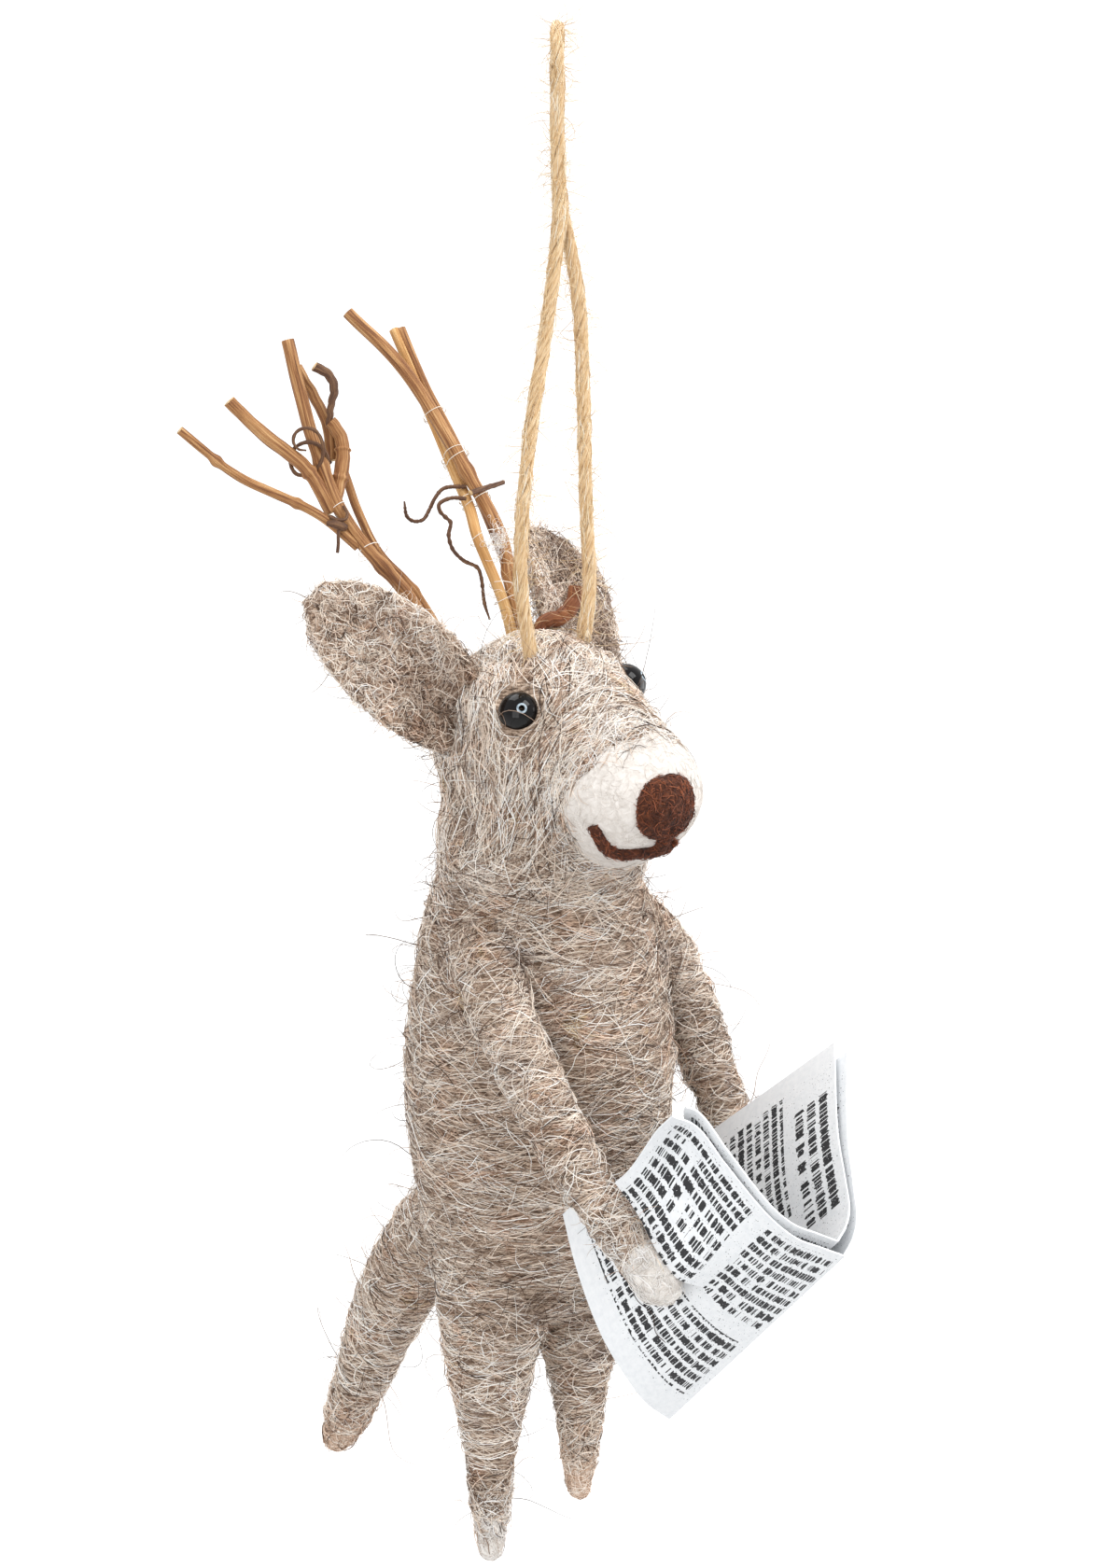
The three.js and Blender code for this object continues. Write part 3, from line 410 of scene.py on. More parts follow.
# Spun jute: silky golden strands with a darker line where they part, and a soft sheen along them.
jute_tones = [(0.3, "#A98252"), (0.44, "#CFAB7C"), (0.58, "#E3C9A2"), (0.74, "#F5E8D0")]
jute = streaked_finish("spun_jute", jute_tones, per_mm=(7.2, 0.48), breaks=0.65, depth=0.12,
                       Roughness=0.7, Sheen_Weight=0.3, Specular_IOR_Level=0.3)

_, across, up = carried_frames(twine_line[None])
twist = np.linspace(0, 2 * np.pi * twine_length / strand_pitch, len(twine_line))
lay_radius = (twine_thickness - strand_thickness) / 2
strands = [twine_line]
for k in range(strand_count):
    wander = waves(len(twine_line), 0.02, 7 * k)
    turn = (twist + 2 * np.pi * k / strand_count + 0.5 * wander)[:, None]
    spoke = across[0] * np.cos(turn) + up[0] * np.sin(turn)
    strands.append(twine_line + lay_radius * (1 + 0.12 * wander)[:, None] * spoke)
swell = np.array([waves(len(twine_line), 0.05, 5 * k, 3) for k in range(strand_count + 1)])
twine = tubes("twine_strands", np.stack(strands), strand_thickness / 2 * (1 + 0.2 * swell), 8, [jute],
              uv=(strand_girth, twine_length))

# Its loose fibres: some lie across the plies, others stand off as pale whiskers.
whisker_tones = [(0, "#B08650"), (0.35, "#DFBE8A"), (0.7, "#F3DFBA"), (1, "#FDF6E6")]
whisker_jute = fibre_finish("jute_whiskers", whisker_tones, roughness=0.6, sheen=0.3, specular=0.5)


def along_twine(places, normals):
    """The twine's own direction beside places, with a slant across its plies."""
    nearest = ((places[:, None] - twine_line[None, ::4]) ** 2).sum(2).argmin(1)
    along = unit(np.gradient(twine_line, axis=0))[::4][nearest]
    return unit(along + 0.35 * np.cross(normals, along))


twine_fibres = lay_fibres("twine_fibres", [twine], along_twine, whisker_jute, 1800, 7, 0.1, wander=0.16,
                          curl=0.04, lift=0.12, steps=6, seed=3)
twine_whiskers = stray_fibres("twine_whiskers", *scatter([twine], 1100, 5), whisker_jute, 6.5, 0.1, seed=6,
                              steps=7, curl=0.25, tones=(0, 0.7))
dress((twine, twine_fibres, twine_whiskers), "loop")
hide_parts("hanging_twine")


# Body: a roll of grey and beige sheep's wool, wound round and round and needled until it holds. It stays
# ridged where each turn lies on the last, with curled hairs lying every way on top.
def smooth_run(stops, values):
    """A smooth run of values between stops."""
    stops, values = np.array(stops, float), np.array(values, float)
    secants = np.diff(values) / np.diff(stops)
    slopes = np.concatenate([secants[:1], (secants[1:] + secants[:-1]) / 2, secants[-1:]])

    def at(share):
        share = np.clip(np.asarray(share, float), 0, 1)
        k = np.clip(np.searchsorted(stops, share, side="right") - 1, 0, len(stops) - 2)
        width = stops[k + 1] - stops[k]
        p = (share - stops[k]) / width
        return ((2 * p ** 3 - 3 * p ** 2 + 1) * values[k] + (p ** 3 - 2 * p ** 2 + p) * width * slopes[k]
                + (3 * p ** 2 - 2 * p ** 3) * values[k + 1] + (p ** 3 - p ** 2) * width * slopes[k + 1])

    return at


def add_patches(material, colour, patches):
    """Tints a colour in broad patches, 7 mm or so across."""
    place = add_node(material, "ShaderNodeTexCoord").outputs["Object"]
    broad = add_node(material, "ShaderNodeTexNoise",
                     {"Vector": place, "Scale": 0.15 / MM, "Detail": 3, "Roughness": 0.55, "Distortion": 0.6})
    tint = add_node(material, "ShaderNodeValToRGB", {"Fac": broad}, patches)
    both = add_node(material, "ShaderNodeMix", {0: 1.0, 6: colour, 7: tint}, data_type="RGBA",
                    blend_type="MULTIPLY")
    return both.outputs[2]


# Felted wool: dull, mottled grey, beige and brown, with a patch here and there of rust or straw, and fine
# hair lines that run the way that it was wound. The hair grain is drawn 0.3 mm wide so that it shows.
def wool_finish(name, stops, grain=(1.0, 1.0, 5.0), patches=None, bumps=0.9):
    """Felted wool whose hairs are 1.25 mm long, divided along each axis by its grain."""
    material, shader = new_finish(name, Roughness=0.95, Sheen_Weight=0.1, Sheen_Roughness=0.6,
                                  Specular_IOR_Level=0.1)
    place = add_node(material, "ShaderNodeTexCoord").outputs["Object"]
    wound = add_node(material, "ShaderNodeMapping", {"Vector": place, "Scale": grain})
    hair = add_node(material, "ShaderNodeTexNoise",
                    {"Vector": wound, "Scale": 0.8 / MM, "Detail": 4, "Roughness": 0.75, "Distortion": 0.4})
    colour = add_node(material, "ShaderNodeValToRGB", {"Fac": hair}, stops)
    if patches:
        colour = add_patches(material, colour, patches)
    finish_with(material, shader, colour, hair, 0.3, bumps)
    return material


wool_patches = [(0.3, "#E6E2E2"), (0.42, "#FAF4EE"), (0.52, "#FFFAF4"), (0.63, "#F6E3D6"), (0.7, "#F8ECD4")]
# Partly painted shade: the wool under the hairs is its own mottled colour, drawn darker than most hairs for
# the gaps.
matted_and_shade_tones = [(0.38, "#4A3A2F"), (0.46, "#7C695A"), (0.54, "#B09D8D"), (0.64, "#E0D0C1")]
matted_wool = wool_finish("matted_wool", matted_and_shade_tones, patches=wool_patches)
wool_hair = fibre_finish("wool_hair", [
    (0, "#3A2B22"), (0.17, "#6B5546"), (0.32, "#AB9585"), (0.46, "#DFCFC1"), (0.64, "#F9EEE2"),
    (1, "#FFFCF7"),
], wool_patches)
cream_hair = fibre_finish("cream_hair", [
    (0, "#A08975"), (0.2, "#DCC9B8"), (0.42, "#F8ECE0"), (0.7, "#FFFAF3"), (1, "#FFFEFC"),
])
cap_rings = 6


def wound_wool(name, line, radii, start, end, finish, seed, sides=72, ridge=0.32, lump=0.45, beside=None,
               web=6):
    """A roll of wool round a line, rounded off at both ends over start and end in mm, with ridges where
    its turns lie and softer lumps. Where it comes within web in mm of what is beside it, wool is laid on."""
    along = unit(np.gradient(line, axis=0))
    round_off = np.linspace(0, np.pi / 2, cap_rings + 1)
    start_cap = line[0] - along[0] * start * np.cos(round_off[:-1])[:, None]
    end_cap = line[-1] + along[-1] * end * np.sin(round_off[1:])[:, None]
    line = np.vstack([start_cap, line, end_cap])
    radii = np.concatenate([radii[0] * np.sin(round_off[:-1]), radii, radii[-1] * np.cos(round_off[1:])])
    radii = np.maximum(radii, 0.02)
    run = np.concatenate([[0], np.cumsum(steps_along(line))])
    grown = np.empty((len(line), sides))
    for i, (s, radius) in enumerate(zip(run, radii)):
        full = min(1, radius / 2)
        for k in range(sides):
            t = 2 * math.pi * k / sides
            x, y = radius * math.cos(t), radius * math.sin(t)
            wound_on = Vector((x / 9, y / 9, s / 1.25 + 0.4 * math.sin(t + seed))) + Vector((seed, 0, 0))
            soft = Vector((x / 6, y / 6, s / 6)) + Vector((0, seed, 0))
            grown[i, k] = radius + full * (ridge * noise.noise(wound_on) + lump * noise.noise(soft))
    if beside:
        gap = np.abs(beside(line[:, None] + spokes_round(line[None], sides)[0] * grown[..., None]))
        grown += web / 4 * np.maximum(1 - gap / web, 0) ** 2 * np.minimum(radii / 2, 1)[:, None]
    return tubes(name, line[None], grown[None], sides, [finish])


def across_axis(axis):
    """Fibres wound round an axis."""
    axis = np.array(axis, float)
    return lambda places, normals: unit(np.cross(np.broadcast_to(axis, normals.shape), normals))


def along_axis(axis):
    """Fibres that run along an axis."""
    axis = unit(np.array(axis, float))
    return lambda places, normals: np.broadcast_to(axis, normals.shape)


def roll_distance(places, line, radii):
    """How far places lie outside a roll of wool."""
    flat = places.reshape(-1, 3)
    gap = np.linalg.norm(flat[:, None] - line[None, ::4], axis=2) - radii[None, ::4]
    return gap.min(1).reshape(places.shape[:-1])


body_top, body_height, body_radius, body_setback, body_foot, shoulder = -134.58, 68, 21, 4.2, 6.5, 5.5
torso_profile = smooth_run([0, 0.14, 0.38, 0.56, 0.78, 0.92, 1], [0.745, 0.86, 0.985, 1, 0.92, 0.78, 0.62])
arm_swell = smooth_run([0, 0.3, 0.62, 0.8, 1], [1, 1.02, 0.96, 0.8, 0.84])
leg_fall = smooth_run([0, 0.22, 0.45, 0.66, 0.86, 1], [1, 0.94, 0.66, 0.31, 0.1, 0])
tail_fall = smooth_run([0, 0.3, 0.65, 1], [1, 0.82, 0.5, 0])
limb_rings = 200
limbs = {}
for name, top, end, fall, points in (
    ("right_arm", 4.6, 0, arm_swell, [
        (-13, 2.4, -143.98), (-19, -3.6, -146.98), (-21.05, -21.95, -170.48), (-15.5, -40.3, -193.98)]),
    ("left_arm", 4, 0, arm_swell, [
        (12.4, 2.4, -145.4), (18.2, -3.6, -148.4), (24.6, -10.1, -170.38), (22.6, -21.6, -193.78)]),
    ("right_leg", 8.8, 2.2, leg_fall, [(-10, 5, -194.58), (-10, 5, -220), (-10, 5, -245.18)]),
    ("left_leg", 8.8, 2.2, leg_fall, [(10, 5, -194.58), (10, 5, -217), (10, 5, -239.48)]),
    ("tail", 8, 3, tail_fall, [(0, 12, -186.58), (0, 32.9, -206.8), (0, 49.5, -238.08)]),
):
    limbs[name] = smooth_line(points, limb_rings), end + (top - end) * fall(np.linspace(0, 1, limb_rings))


def torso_distance(places):
    """About how far places lie outside the torso."""
    share = (body_top - places[..., 2]) / body_height
    outside = np.hypot(places[..., 0], places[..., 1] - body_setback) - body_radius * torso_profile(share)
    return np.maximum(outside, (share - 1) * body_height - body_foot)


def limb_distance(places, *names):
    """How far places lie outside the nearest of some limbs, or of all five."""
    return np.min([roll_distance(places, *limbs[name]) for name in names or limbs], axis=0)


def painted_crease_shade(distance):
    """Painted shade: darkens the hairs that lie deep between two parts, where shade falls. distance gives how
    far off the other part is.
    """
    return lambda places: 0.35 + 0.65 * np.clip(distance(places) / 3.5, 0, 1)


def stand_for(node):
    """Hides the solid whose place a padded piece takes."""
    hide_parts(node)


torso_shares = np.linspace(0, 1, 120)
torso_line = np.array([(0, body_setback, body_top - body_height * share) for share in torso_shares])
torso = wound_wool("torso_wool", torso_line, body_radius * torso_profile(torso_shares), shoulder, body_foot,
                   matted_wool, 3, sides=120, beside=limb_distance)
# Painted shade: the torso's hairs are darker where the limbs lie close.
torso_hair = lay_fibres("torso_hair", [torso], across_axis((0.05, 0.1, 1)), wool_hair, 5600, 12, wander=0.26,
                        curl=0.12, lift=0.22, seed=11, shade=painted_crease_shade(limb_distance))
torso_top_hair = lay_fibres("torso_top_hair", [torso], across_axis((-0.05, 0, 1)), cream_hair, 3600, 10,
                            0.115, wander=0.3, curl=0.15, lift=0.3, steps=6, seed=12,
                            shade=painted_crease_shade(limb_distance))
stand_for("body")
dress((torso, torso_hair, torso_top_hair))


# Head: one more ball of the same wool with the snout and the neck needled on, so that they run into each
# other. The hair goes round the snout, and from the crown down the cheeks.
head_centre, head_radius = np.array([0, 3.2, -114.08]), 17
snout_centre, snout_radius = np.array([0, -12.6, -118.48]), 11.7
neck_centre, neck_radius = np.array([0, 3.6, -132.58]), 16.2
head_blend, felt_blend = 7, 2.6
muzzle_centre, muzzle_size = np.array([0, -16.1, -120.28]), np.array([25, 21, 24.4])
chin_taper, chin_back, chin_up = 0.16, 3.2, 0.7


def muzzle_distance(places, shrink=0.0):
    """About how far places lie outside the white felt, whose lower half tapers and falls back to the chin."""
    half = muzzle_size / 2 - shrink
    p = places - muzzle_centre
    low = np.clip(-p[..., 2] / (half[2] - chin_up), 0, 1)
    taper = 1 - chin_taper * low
    fallen = np.stack([p[..., 0] / taper, (p[..., 1] - chin_back * low ** 2) / taper,
                       p[..., 2] - chin_up * low ** 2], -1)
    share = np.linalg.norm(fallen / half, axis=-1)
    return share * (share - 1) / np.maximum(np.linalg.norm(fallen / half ** 2, axis=-1), 1e-6)


def head_distance(places):
    """How far places lie outside the head's three balls, blended softly into each other."""
    joined = np.full(places.shape[:-1], 10.0 * head_radius)
    balls = (head_centre, head_radius), (snout_centre, snout_radius), (neck_centre, neck_radius)
    for centre, radius in balls:
        distance = np.linalg.norm(places - centre, axis=-1) - radius
        overlap = np.maximum(head_blend - np.abs(joined - distance), 0) / head_blend
        joined = np.minimum(joined, distance) - overlap ** 2 * head_blend / 4
    return joined


def dressed_distance(places):
    """The head's wool rises softly to the edge of the white felt, and lies under the felt itself."""
    joined, felt = head_distance(places), muzzle_distance(places, 0.95)
    overlap = np.maximum(felt_blend - np.abs(joined - felt), 0) / felt_blend
    return np.minimum(joined, felt) - overlap ** 2 * felt_blend / 4


def head_surface(start, directions, distance=head_distance):
    """Where rays from inside the head leave its wool."""
    low, high = np.zeros(directions.shape[:-1]), np.full(directions.shape[:-1], 3.0 * head_radius)
    for _ in range(30):
        middle = (low + high) / 2
        inside = distance(start + directions * middle[..., None]) < 0
        low, high = np.where(inside, middle, low), np.where(inside, high, middle)
    return start + directions * low[..., None]


def head_direction(round_degrees, up_degrees, side):
    """A direction out of the head: degrees round it from the front to a side, and degrees up."""
    turn, up = math.radians(round_degrees), math.radians(up_degrees)
    return np.array([side * math.sin(turn) * math.cos(up), -math.cos(turn) * math.cos(up), math.sin(up)])


def ball_directions(rings, sides):
    """Directions from the middle of a ball to its rings of places, from the top down."""
    up = np.linspace(0, np.pi, rings + 2)[1:-1][:, None]
    turn = np.arange(sides) * 2 * np.pi / sides
    return np.stack([np.sin(up) * np.cos(turn), -np.sin(up) * np.sin(turn), np.cos(up) + 0 * turn], -1)


ball_poles = np.array([[0, 0, 1.0], [0, 0, -1.0]])


def rough(places, normals, *layers):
    """Moves places along normals by layers of noise, each (depth, size in mm, seed)."""
    moved = places.copy()
    for depth, size, seed in layers:
        bumps = [noise.noise(Vector(p / size) + Vector((seed, 2 * seed, 0))) for p in places.reshape(-1, 3)]
        moved += normals * (depth * np.array(bumps)).reshape(places.shape[:-1])[..., None]
    return moved


def felted(name, rings, poles, ways, finish, *layers):
    """A ball of felt from rings of places and their poles, made rough along ways by layers of noise."""
    return closed_mesh(name, rough(rings, ways, *layers)[None], poles[None], [finish])


head_ways = ball_directions(130, 150)
head_start = head_centre + 0.35 * (snout_centre - head_centre)
head = felted("head_wool", head_surface(head_start, head_ways, dressed_distance),
              head_surface(head_start, ball_poles), head_ways, matted_wool, (0.5, 6, 3), (0.3, 2.2, 7))


def round_head(places, normals):
    """The hair runs round the snout, down the cheeks, and round the neck, with soft changes between."""
    snout = np.clip((-places[:, 1] - 1) / 8, 0, 1)[:, None]
    neck = np.clip((-places[:, 2] - 127) / 6, 0, 1)[:, None]
    axis = snout * [0.1, -1, -0.25] + (1 - snout) * [0.55, -0.5, -0.1]
    axis = axis * (1 - neck) + neck * [0.05, 0, 1] * np.sign(axis[:, 2:] + 1e-9)
    return unit(np.cross(axis, normals))


bead_radius, bore_radius, bead_clearance = 3.3, 0.5, 0.12
eye_ways = {"right": (head_direction(60.8, 29.9, -1), 1.2), "left": (head_direction(53, 33, 1), 1.3)}
eye_centres = {name: head_surface(head_centre, way[None])[0] - way * sunk
               for name, (way, sunk) in eye_ways.items()}


def off_the_eyes(places):
    """Where a hair wouldn't lie over a bead."""
    reach = bead_radius + bead_clearance
    return np.all([np.linalg.norm(places - centre, axis=-1) > reach for centre in eye_centres.values()], 0)


def painted_light_above(places):
    """Painted light and shade: the hairs are paler towards the crown, where light falls from above, and
    darker towards the throat.
    """
    return 0.84 + 0.42 * np.clip((places[:, 2] + 126) / 16, 0, 1)


# Below this height the torso's own hair covers the neck.
collar_height = -141


def on_head(margin):
    """Places above the collar that lie at least margin in mm off the muzzle."""
    return lambda places: (places[:, 2] > collar_height) & (muzzle_distance(places) > margin)


# Painted light and shade: the head's hairs are paler towards the crown and darker towards the throat.
head_hair = lay_fibres("head_hair", [head], round_head, wool_hair, 5000, 10, wander=0.26, curl=0.12,
                       lift=0.22, seed=21, keep=on_head(0.1), shade=painted_light_above, clear=off_the_eyes)
head_top_hair = lay_fibres("head_top_hair", [head], round_head, cream_hair, 3800, 9, 0.115, wander=0.3,
                           curl=0.15, lift=0.28, steps=6, seed=22, keep=on_head(0.5), shade=painted_light_above,
                           clear=off_the_eyes)
stand_for("head")
dress((head, head_hair, head_top_hair))


# Muzzle: a cap of fine white wool felted over the end of the snout, smoother than the rest, with an
# uneven edge that the grey hairs cross.
# Painted shade: the muzzle's felt is a darker copy of the white felt on the hands and the right foot.
shaded_muzzle_felt = wool_finish("shaded_muzzle_felt", [(0.3, "#C5BEB7"), (0.5, "#D7D1CB"), (0.7, "#E6E1DC")], (1, 1, 1),
                          bumps=0.15)
white_felt = wool_finish("white_felt", [(0.3, "#DAD3CC"), (0.5, "#E9E4DE"), (0.7, "#F5F2ED")], (1, 1, 1),
                         bumps=0.3)
white_hair = fibre_finish("white_hair", [(0, "#CFC6BD"), (0.4, "#ECE6E0"), (1, "#FCFAF8")])
muzzle_ways = ball_directions(90, 110)


def chin_shape(places):
    """Draws the lower half of the muzzle in, back and up towards the chin."""
    low = np.clip((muzzle_centre[2] - places[..., 2]) / (muzzle_size[2] / 2), 0, 1)
    flat = muzzle_centre[:2] + (places[..., :2] - muzzle_centre[:2]) * (1 - chin_taper * low[..., None])
    return np.stack([flat[..., 0], flat[..., 1] + chin_back * low ** 2,
                     places[..., 2] + chin_up * low ** 2], -1)


def painted_muzzle_shade(places):
    """Painted shade: the muzzle's own hairs keep to a middle tone, like its shaded felt, so that they hardly
    show.
    """
    return 0.35 + 0 * places[:, 0]


muzzle = felted("muzzle_cap_felt", chin_shape(muzzle_centre + muzzle_ways * muzzle_size / 2),
                chin_shape(muzzle_centre + ball_poles * muzzle_size / 2), muzzle_ways, shaded_muzzle_felt,
                (0.35, 5, 2), (0.06, 1.5, 5))
muzzle_hair = lay_fibres("muzzle_hair", [muzzle], across_axis((0, -1, 0.2)), white_hair, 1400, 4, 0.06,
                         wander=1.4, curl=0.35, lift=0.02, steps=6, seed=31,
                         keep=lambda p: head_distance(p) > 0.3, sink=0.02, shade=painted_muzzle_shade)
crossing_hair = lay_fibres("crossing_hair", [head], across_axis((0.3, 0.2, 1)), white_hair, 900, 4, 0.1,
                           wander=1.2, curl=0.3, lift=0.2, steps=6, seed=32,
                           keep=lambda p: (np.abs(muzzle_distance(p) - 0.9) < 1.1) & (p[:, 1] < -5))
grey_crossing = lay_fibres("grey_crossing_hair", [muzzle], across_axis((0.1, -1, 0)), wool_hair, 240, 4, 0.08,
                           wander=0.7, curl=0.35, lift=0.2, steps=6, seed=33,
                           keep=lambda p: (head_distance(p) > 0) & (head_distance(p) < 0.8))
stand_for("muzzle")
dress((muzzle, muzzle_hair, crossing_hair))
dress((grey_crossing,))


# Nose and mouth: brown wool needled onto the muzzle, the nose as a thick button and the mouth as a
# strand of the same wool, pushed in until it lies flush.
def on_muzzle(turn, height, margin):
    """Places on the muzzle: radians round it, and how high over its middle and how far out, in mm."""
    half = muzzle_size / 2
    level = np.sqrt(1 - (height / half[2]) ** 2)
    across, forward = np.sin(turn) * (half[0] * level + margin), -np.cos(turn) * (half[1] * level + margin)
    return chin_shape(muzzle_centre + np.stack([across, forward, height + 0 * turn], -1))

nose_size, nose_swell, nose_rise, nose_proud = np.array([11, 7, 10.8]), [1.08, 1, 0.97], 0.9, 1.8
nose_turn = -math.asin(1.5 / (muzzle_size[0] / 2))
smile_reach, smile_drop, smile_rings, mouth_radius = math.radians(62), 6.6, 60, 1.15
stem_heights, stem_rings, stem_radius = (-2.2, -3.6, -5, -6.8), 16, 1.3
brown_tones = [(0.3, "#2B150D"), (0.5, "#4A291B"), (0.66, "#6E402A"), (0.78, "#875538")]
brown_felt = wool_finish("brown_felt", brown_tones, (1, 1, 1), bumps=0.6)
brown_hair = fibre_finish("brown_hair", [(0, "#29130C"), (0.4, "#4F291B"), (0.8, "#80442B"), (1, "#9C5A3A")])
nose_centre = on_muzzle(np.array(nose_turn), nose_rise, nose_proud - nose_size[1] / 2)
nose_ways = ball_directions(50, 60)
nose = felted("nose_felt", nose_centre + nose_ways * nose_size / 2 * nose_swell,
              nose_centre + ball_poles * nose_size / 2, nose_ways, brown_felt, (0.25, 3.2, 4), (0.14, 0.9, 8))

# The smile is short and turns up a little at the deer's left corner, and long with a high right corner.
share = np.linspace(-1, 1, 13)
smile_turn = nose_turn + smile_reach * np.where(share > 0, 0.3, 1.03) * share
smile_height = np.where(share > 0, 1.2, 5.2) * np.abs(share) ** 7 - smile_drop
smile = smooth_line(on_muzzle(smile_turn, smile_height, 0.05), smile_rings)
thinner = 1 - 0.3 * np.abs(np.linspace(-1, 1, smile_rings)) ** 3
lumps = waves(smile_rings, 0.35, layer=4)
mouth = tubes("mouth_felt", smile[None], ((mouth_radius + 0.2 * lumps) * thinner)[None], 12, [brown_felt])
stem_line = smooth_line([on_muzzle(np.array(nose_turn), height, 0.15) for height in stem_heights], stem_rings)
stem_radii = stem_radius * (1 + 0.2 * lumps[None, :stem_rings])
stem = tubes("mouth_stem_felt", stem_line[None], stem_radii, 12, [brown_felt])
nose_hair = lay_fibres("nose_hair", [nose, mouth, stem], across_axis((0.3, 0.2, 1)), brown_hair, 2400, 2.2,
                       0.1, wander=1.4, curl=0.4, lift=0.16, steps=5, seed=41)
stand_for("nose")
stand_for("mouth")
dress((nose, mouth, stem, nose_hair))


# Eyes: two beads of black glass, 6.6 mm across, each with its bore, sunk into the wool and sewn on. Glass
# is nearly mirror smooth and takes one small bright reflection. Round the bore a pale ring is painted: the
# bore's rim, with a painted highlight on it.
def speckled_finish(name, stops, per_mm, detail=2, depth=None, **sockets):
    """A finish of specks between stops, per_mm of them, with a bump where they are depth in mm deep."""
    material, shader = new_finish(name, **sockets)
    place = add_node(material, "ShaderNodeTexCoord").outputs["Object"]
    specks = add_node(material, "ShaderNodeTexNoise",
                      {"Vector": place, "Scale": per_mm / MM, "Detail": detail})
    tint = add_node(material, "ShaderNodeValToRGB", {"Fac": specks}, stops)
    finish_with(material, shader, tint, specks if depth else None, depth)
    return material


def take_up(piece):
    """Makes a piece the only one that operators act on."""
    bpy.ops.object.select_all(action="DESELECT")
    bpy.context.view_layer.objects.active = piece
    piece.select_set(True)


def glass_bead(name, centre, gaze):
    """A round bead at centre in mm: an outline turned round its bore, which looks along gaze."""
    first = math.asin(bore_radius / bead_radius)
    turns = np.linspace(first, math.pi - first, 28)
    bow = [(bead_radius * math.sin(t), bead_radius * math.cos(t)) for t in turns]
    wall = [(bore_radius, bead_radius * math.cos(first) * h) for h in np.linspace(-0.9, 0.9, 5)]
    radii, heights = np.array(bow + wall).T[..., None]
    turns = np.arange(bead_sides) * 2 * np.pi / bead_sides
    upright = np.stack([radii * np.cos(turns), radii * np.sin(turns), heights + 0 * turns], -1)
    gaze = Vector(gaze)
    places = centre + upright @ np.array(gaze.to_track_quat("Z", "Y").to_matrix()).T
    corners = np.arange(len(radii) * bead_sides).reshape(-1, bead_sides)
    after = np.roll(corners, -1, 0)
    squares = np.stack([corners, after, np.roll(after, -1, 1), np.roll(corners, -1, 1)], -1)
    mesh = bpy.data.meshes.new(name)
    mesh.from_pydata((places * MM).reshape(-1, 3).tolist(), [], squares.reshape(-1, 4).tolist())
    bead = add_piece(name, mesh, [black_glass, bore_highlight_glass])
    take_up(bead)
    bpy.ops.object.shade_smooth_by_angle(angle=math.radians(40))
    for face in mesh.polygons:
        from_bore = (Vector(face.center) / MM - Vector(centre)).cross(gaze).length
        # Painted highlight: the faces round the bore that look out take the pale finish.
        highlit = face.normal.dot(gaze) > 0.5 and highlight_from < from_bore < highlight_to
        face.material_index = int(highlit)
    return bead


black_glass = speckled_finish("black_glass", [(0.4, "#040303"), (0.7, "#0D0A0B")], 0.5,
                              Roughness=0.06, IOR=1.5, Specular_IOR_Level=0.22)
# Painted highlight: the pale, rough finish of the ring round the bore.
bore_highlight_glass = speckled_finish("bore_highlight_glass", [(0.4, "#74848F"), (0.7, "#B4C2CB")], 3,
                               Roughness=0.5, IOR=1.5)
bead_sides, highlight_from, highlight_to = 48, 0.52, 0.7
for name, side in (("right", -1), ("left", 1)):
    bead = glass_bead(f"{name}_eye_glass", eye_centres[name], head_direction(36, 27, side))
    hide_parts(f"{name}_eye_bead")
    dress((bead,))


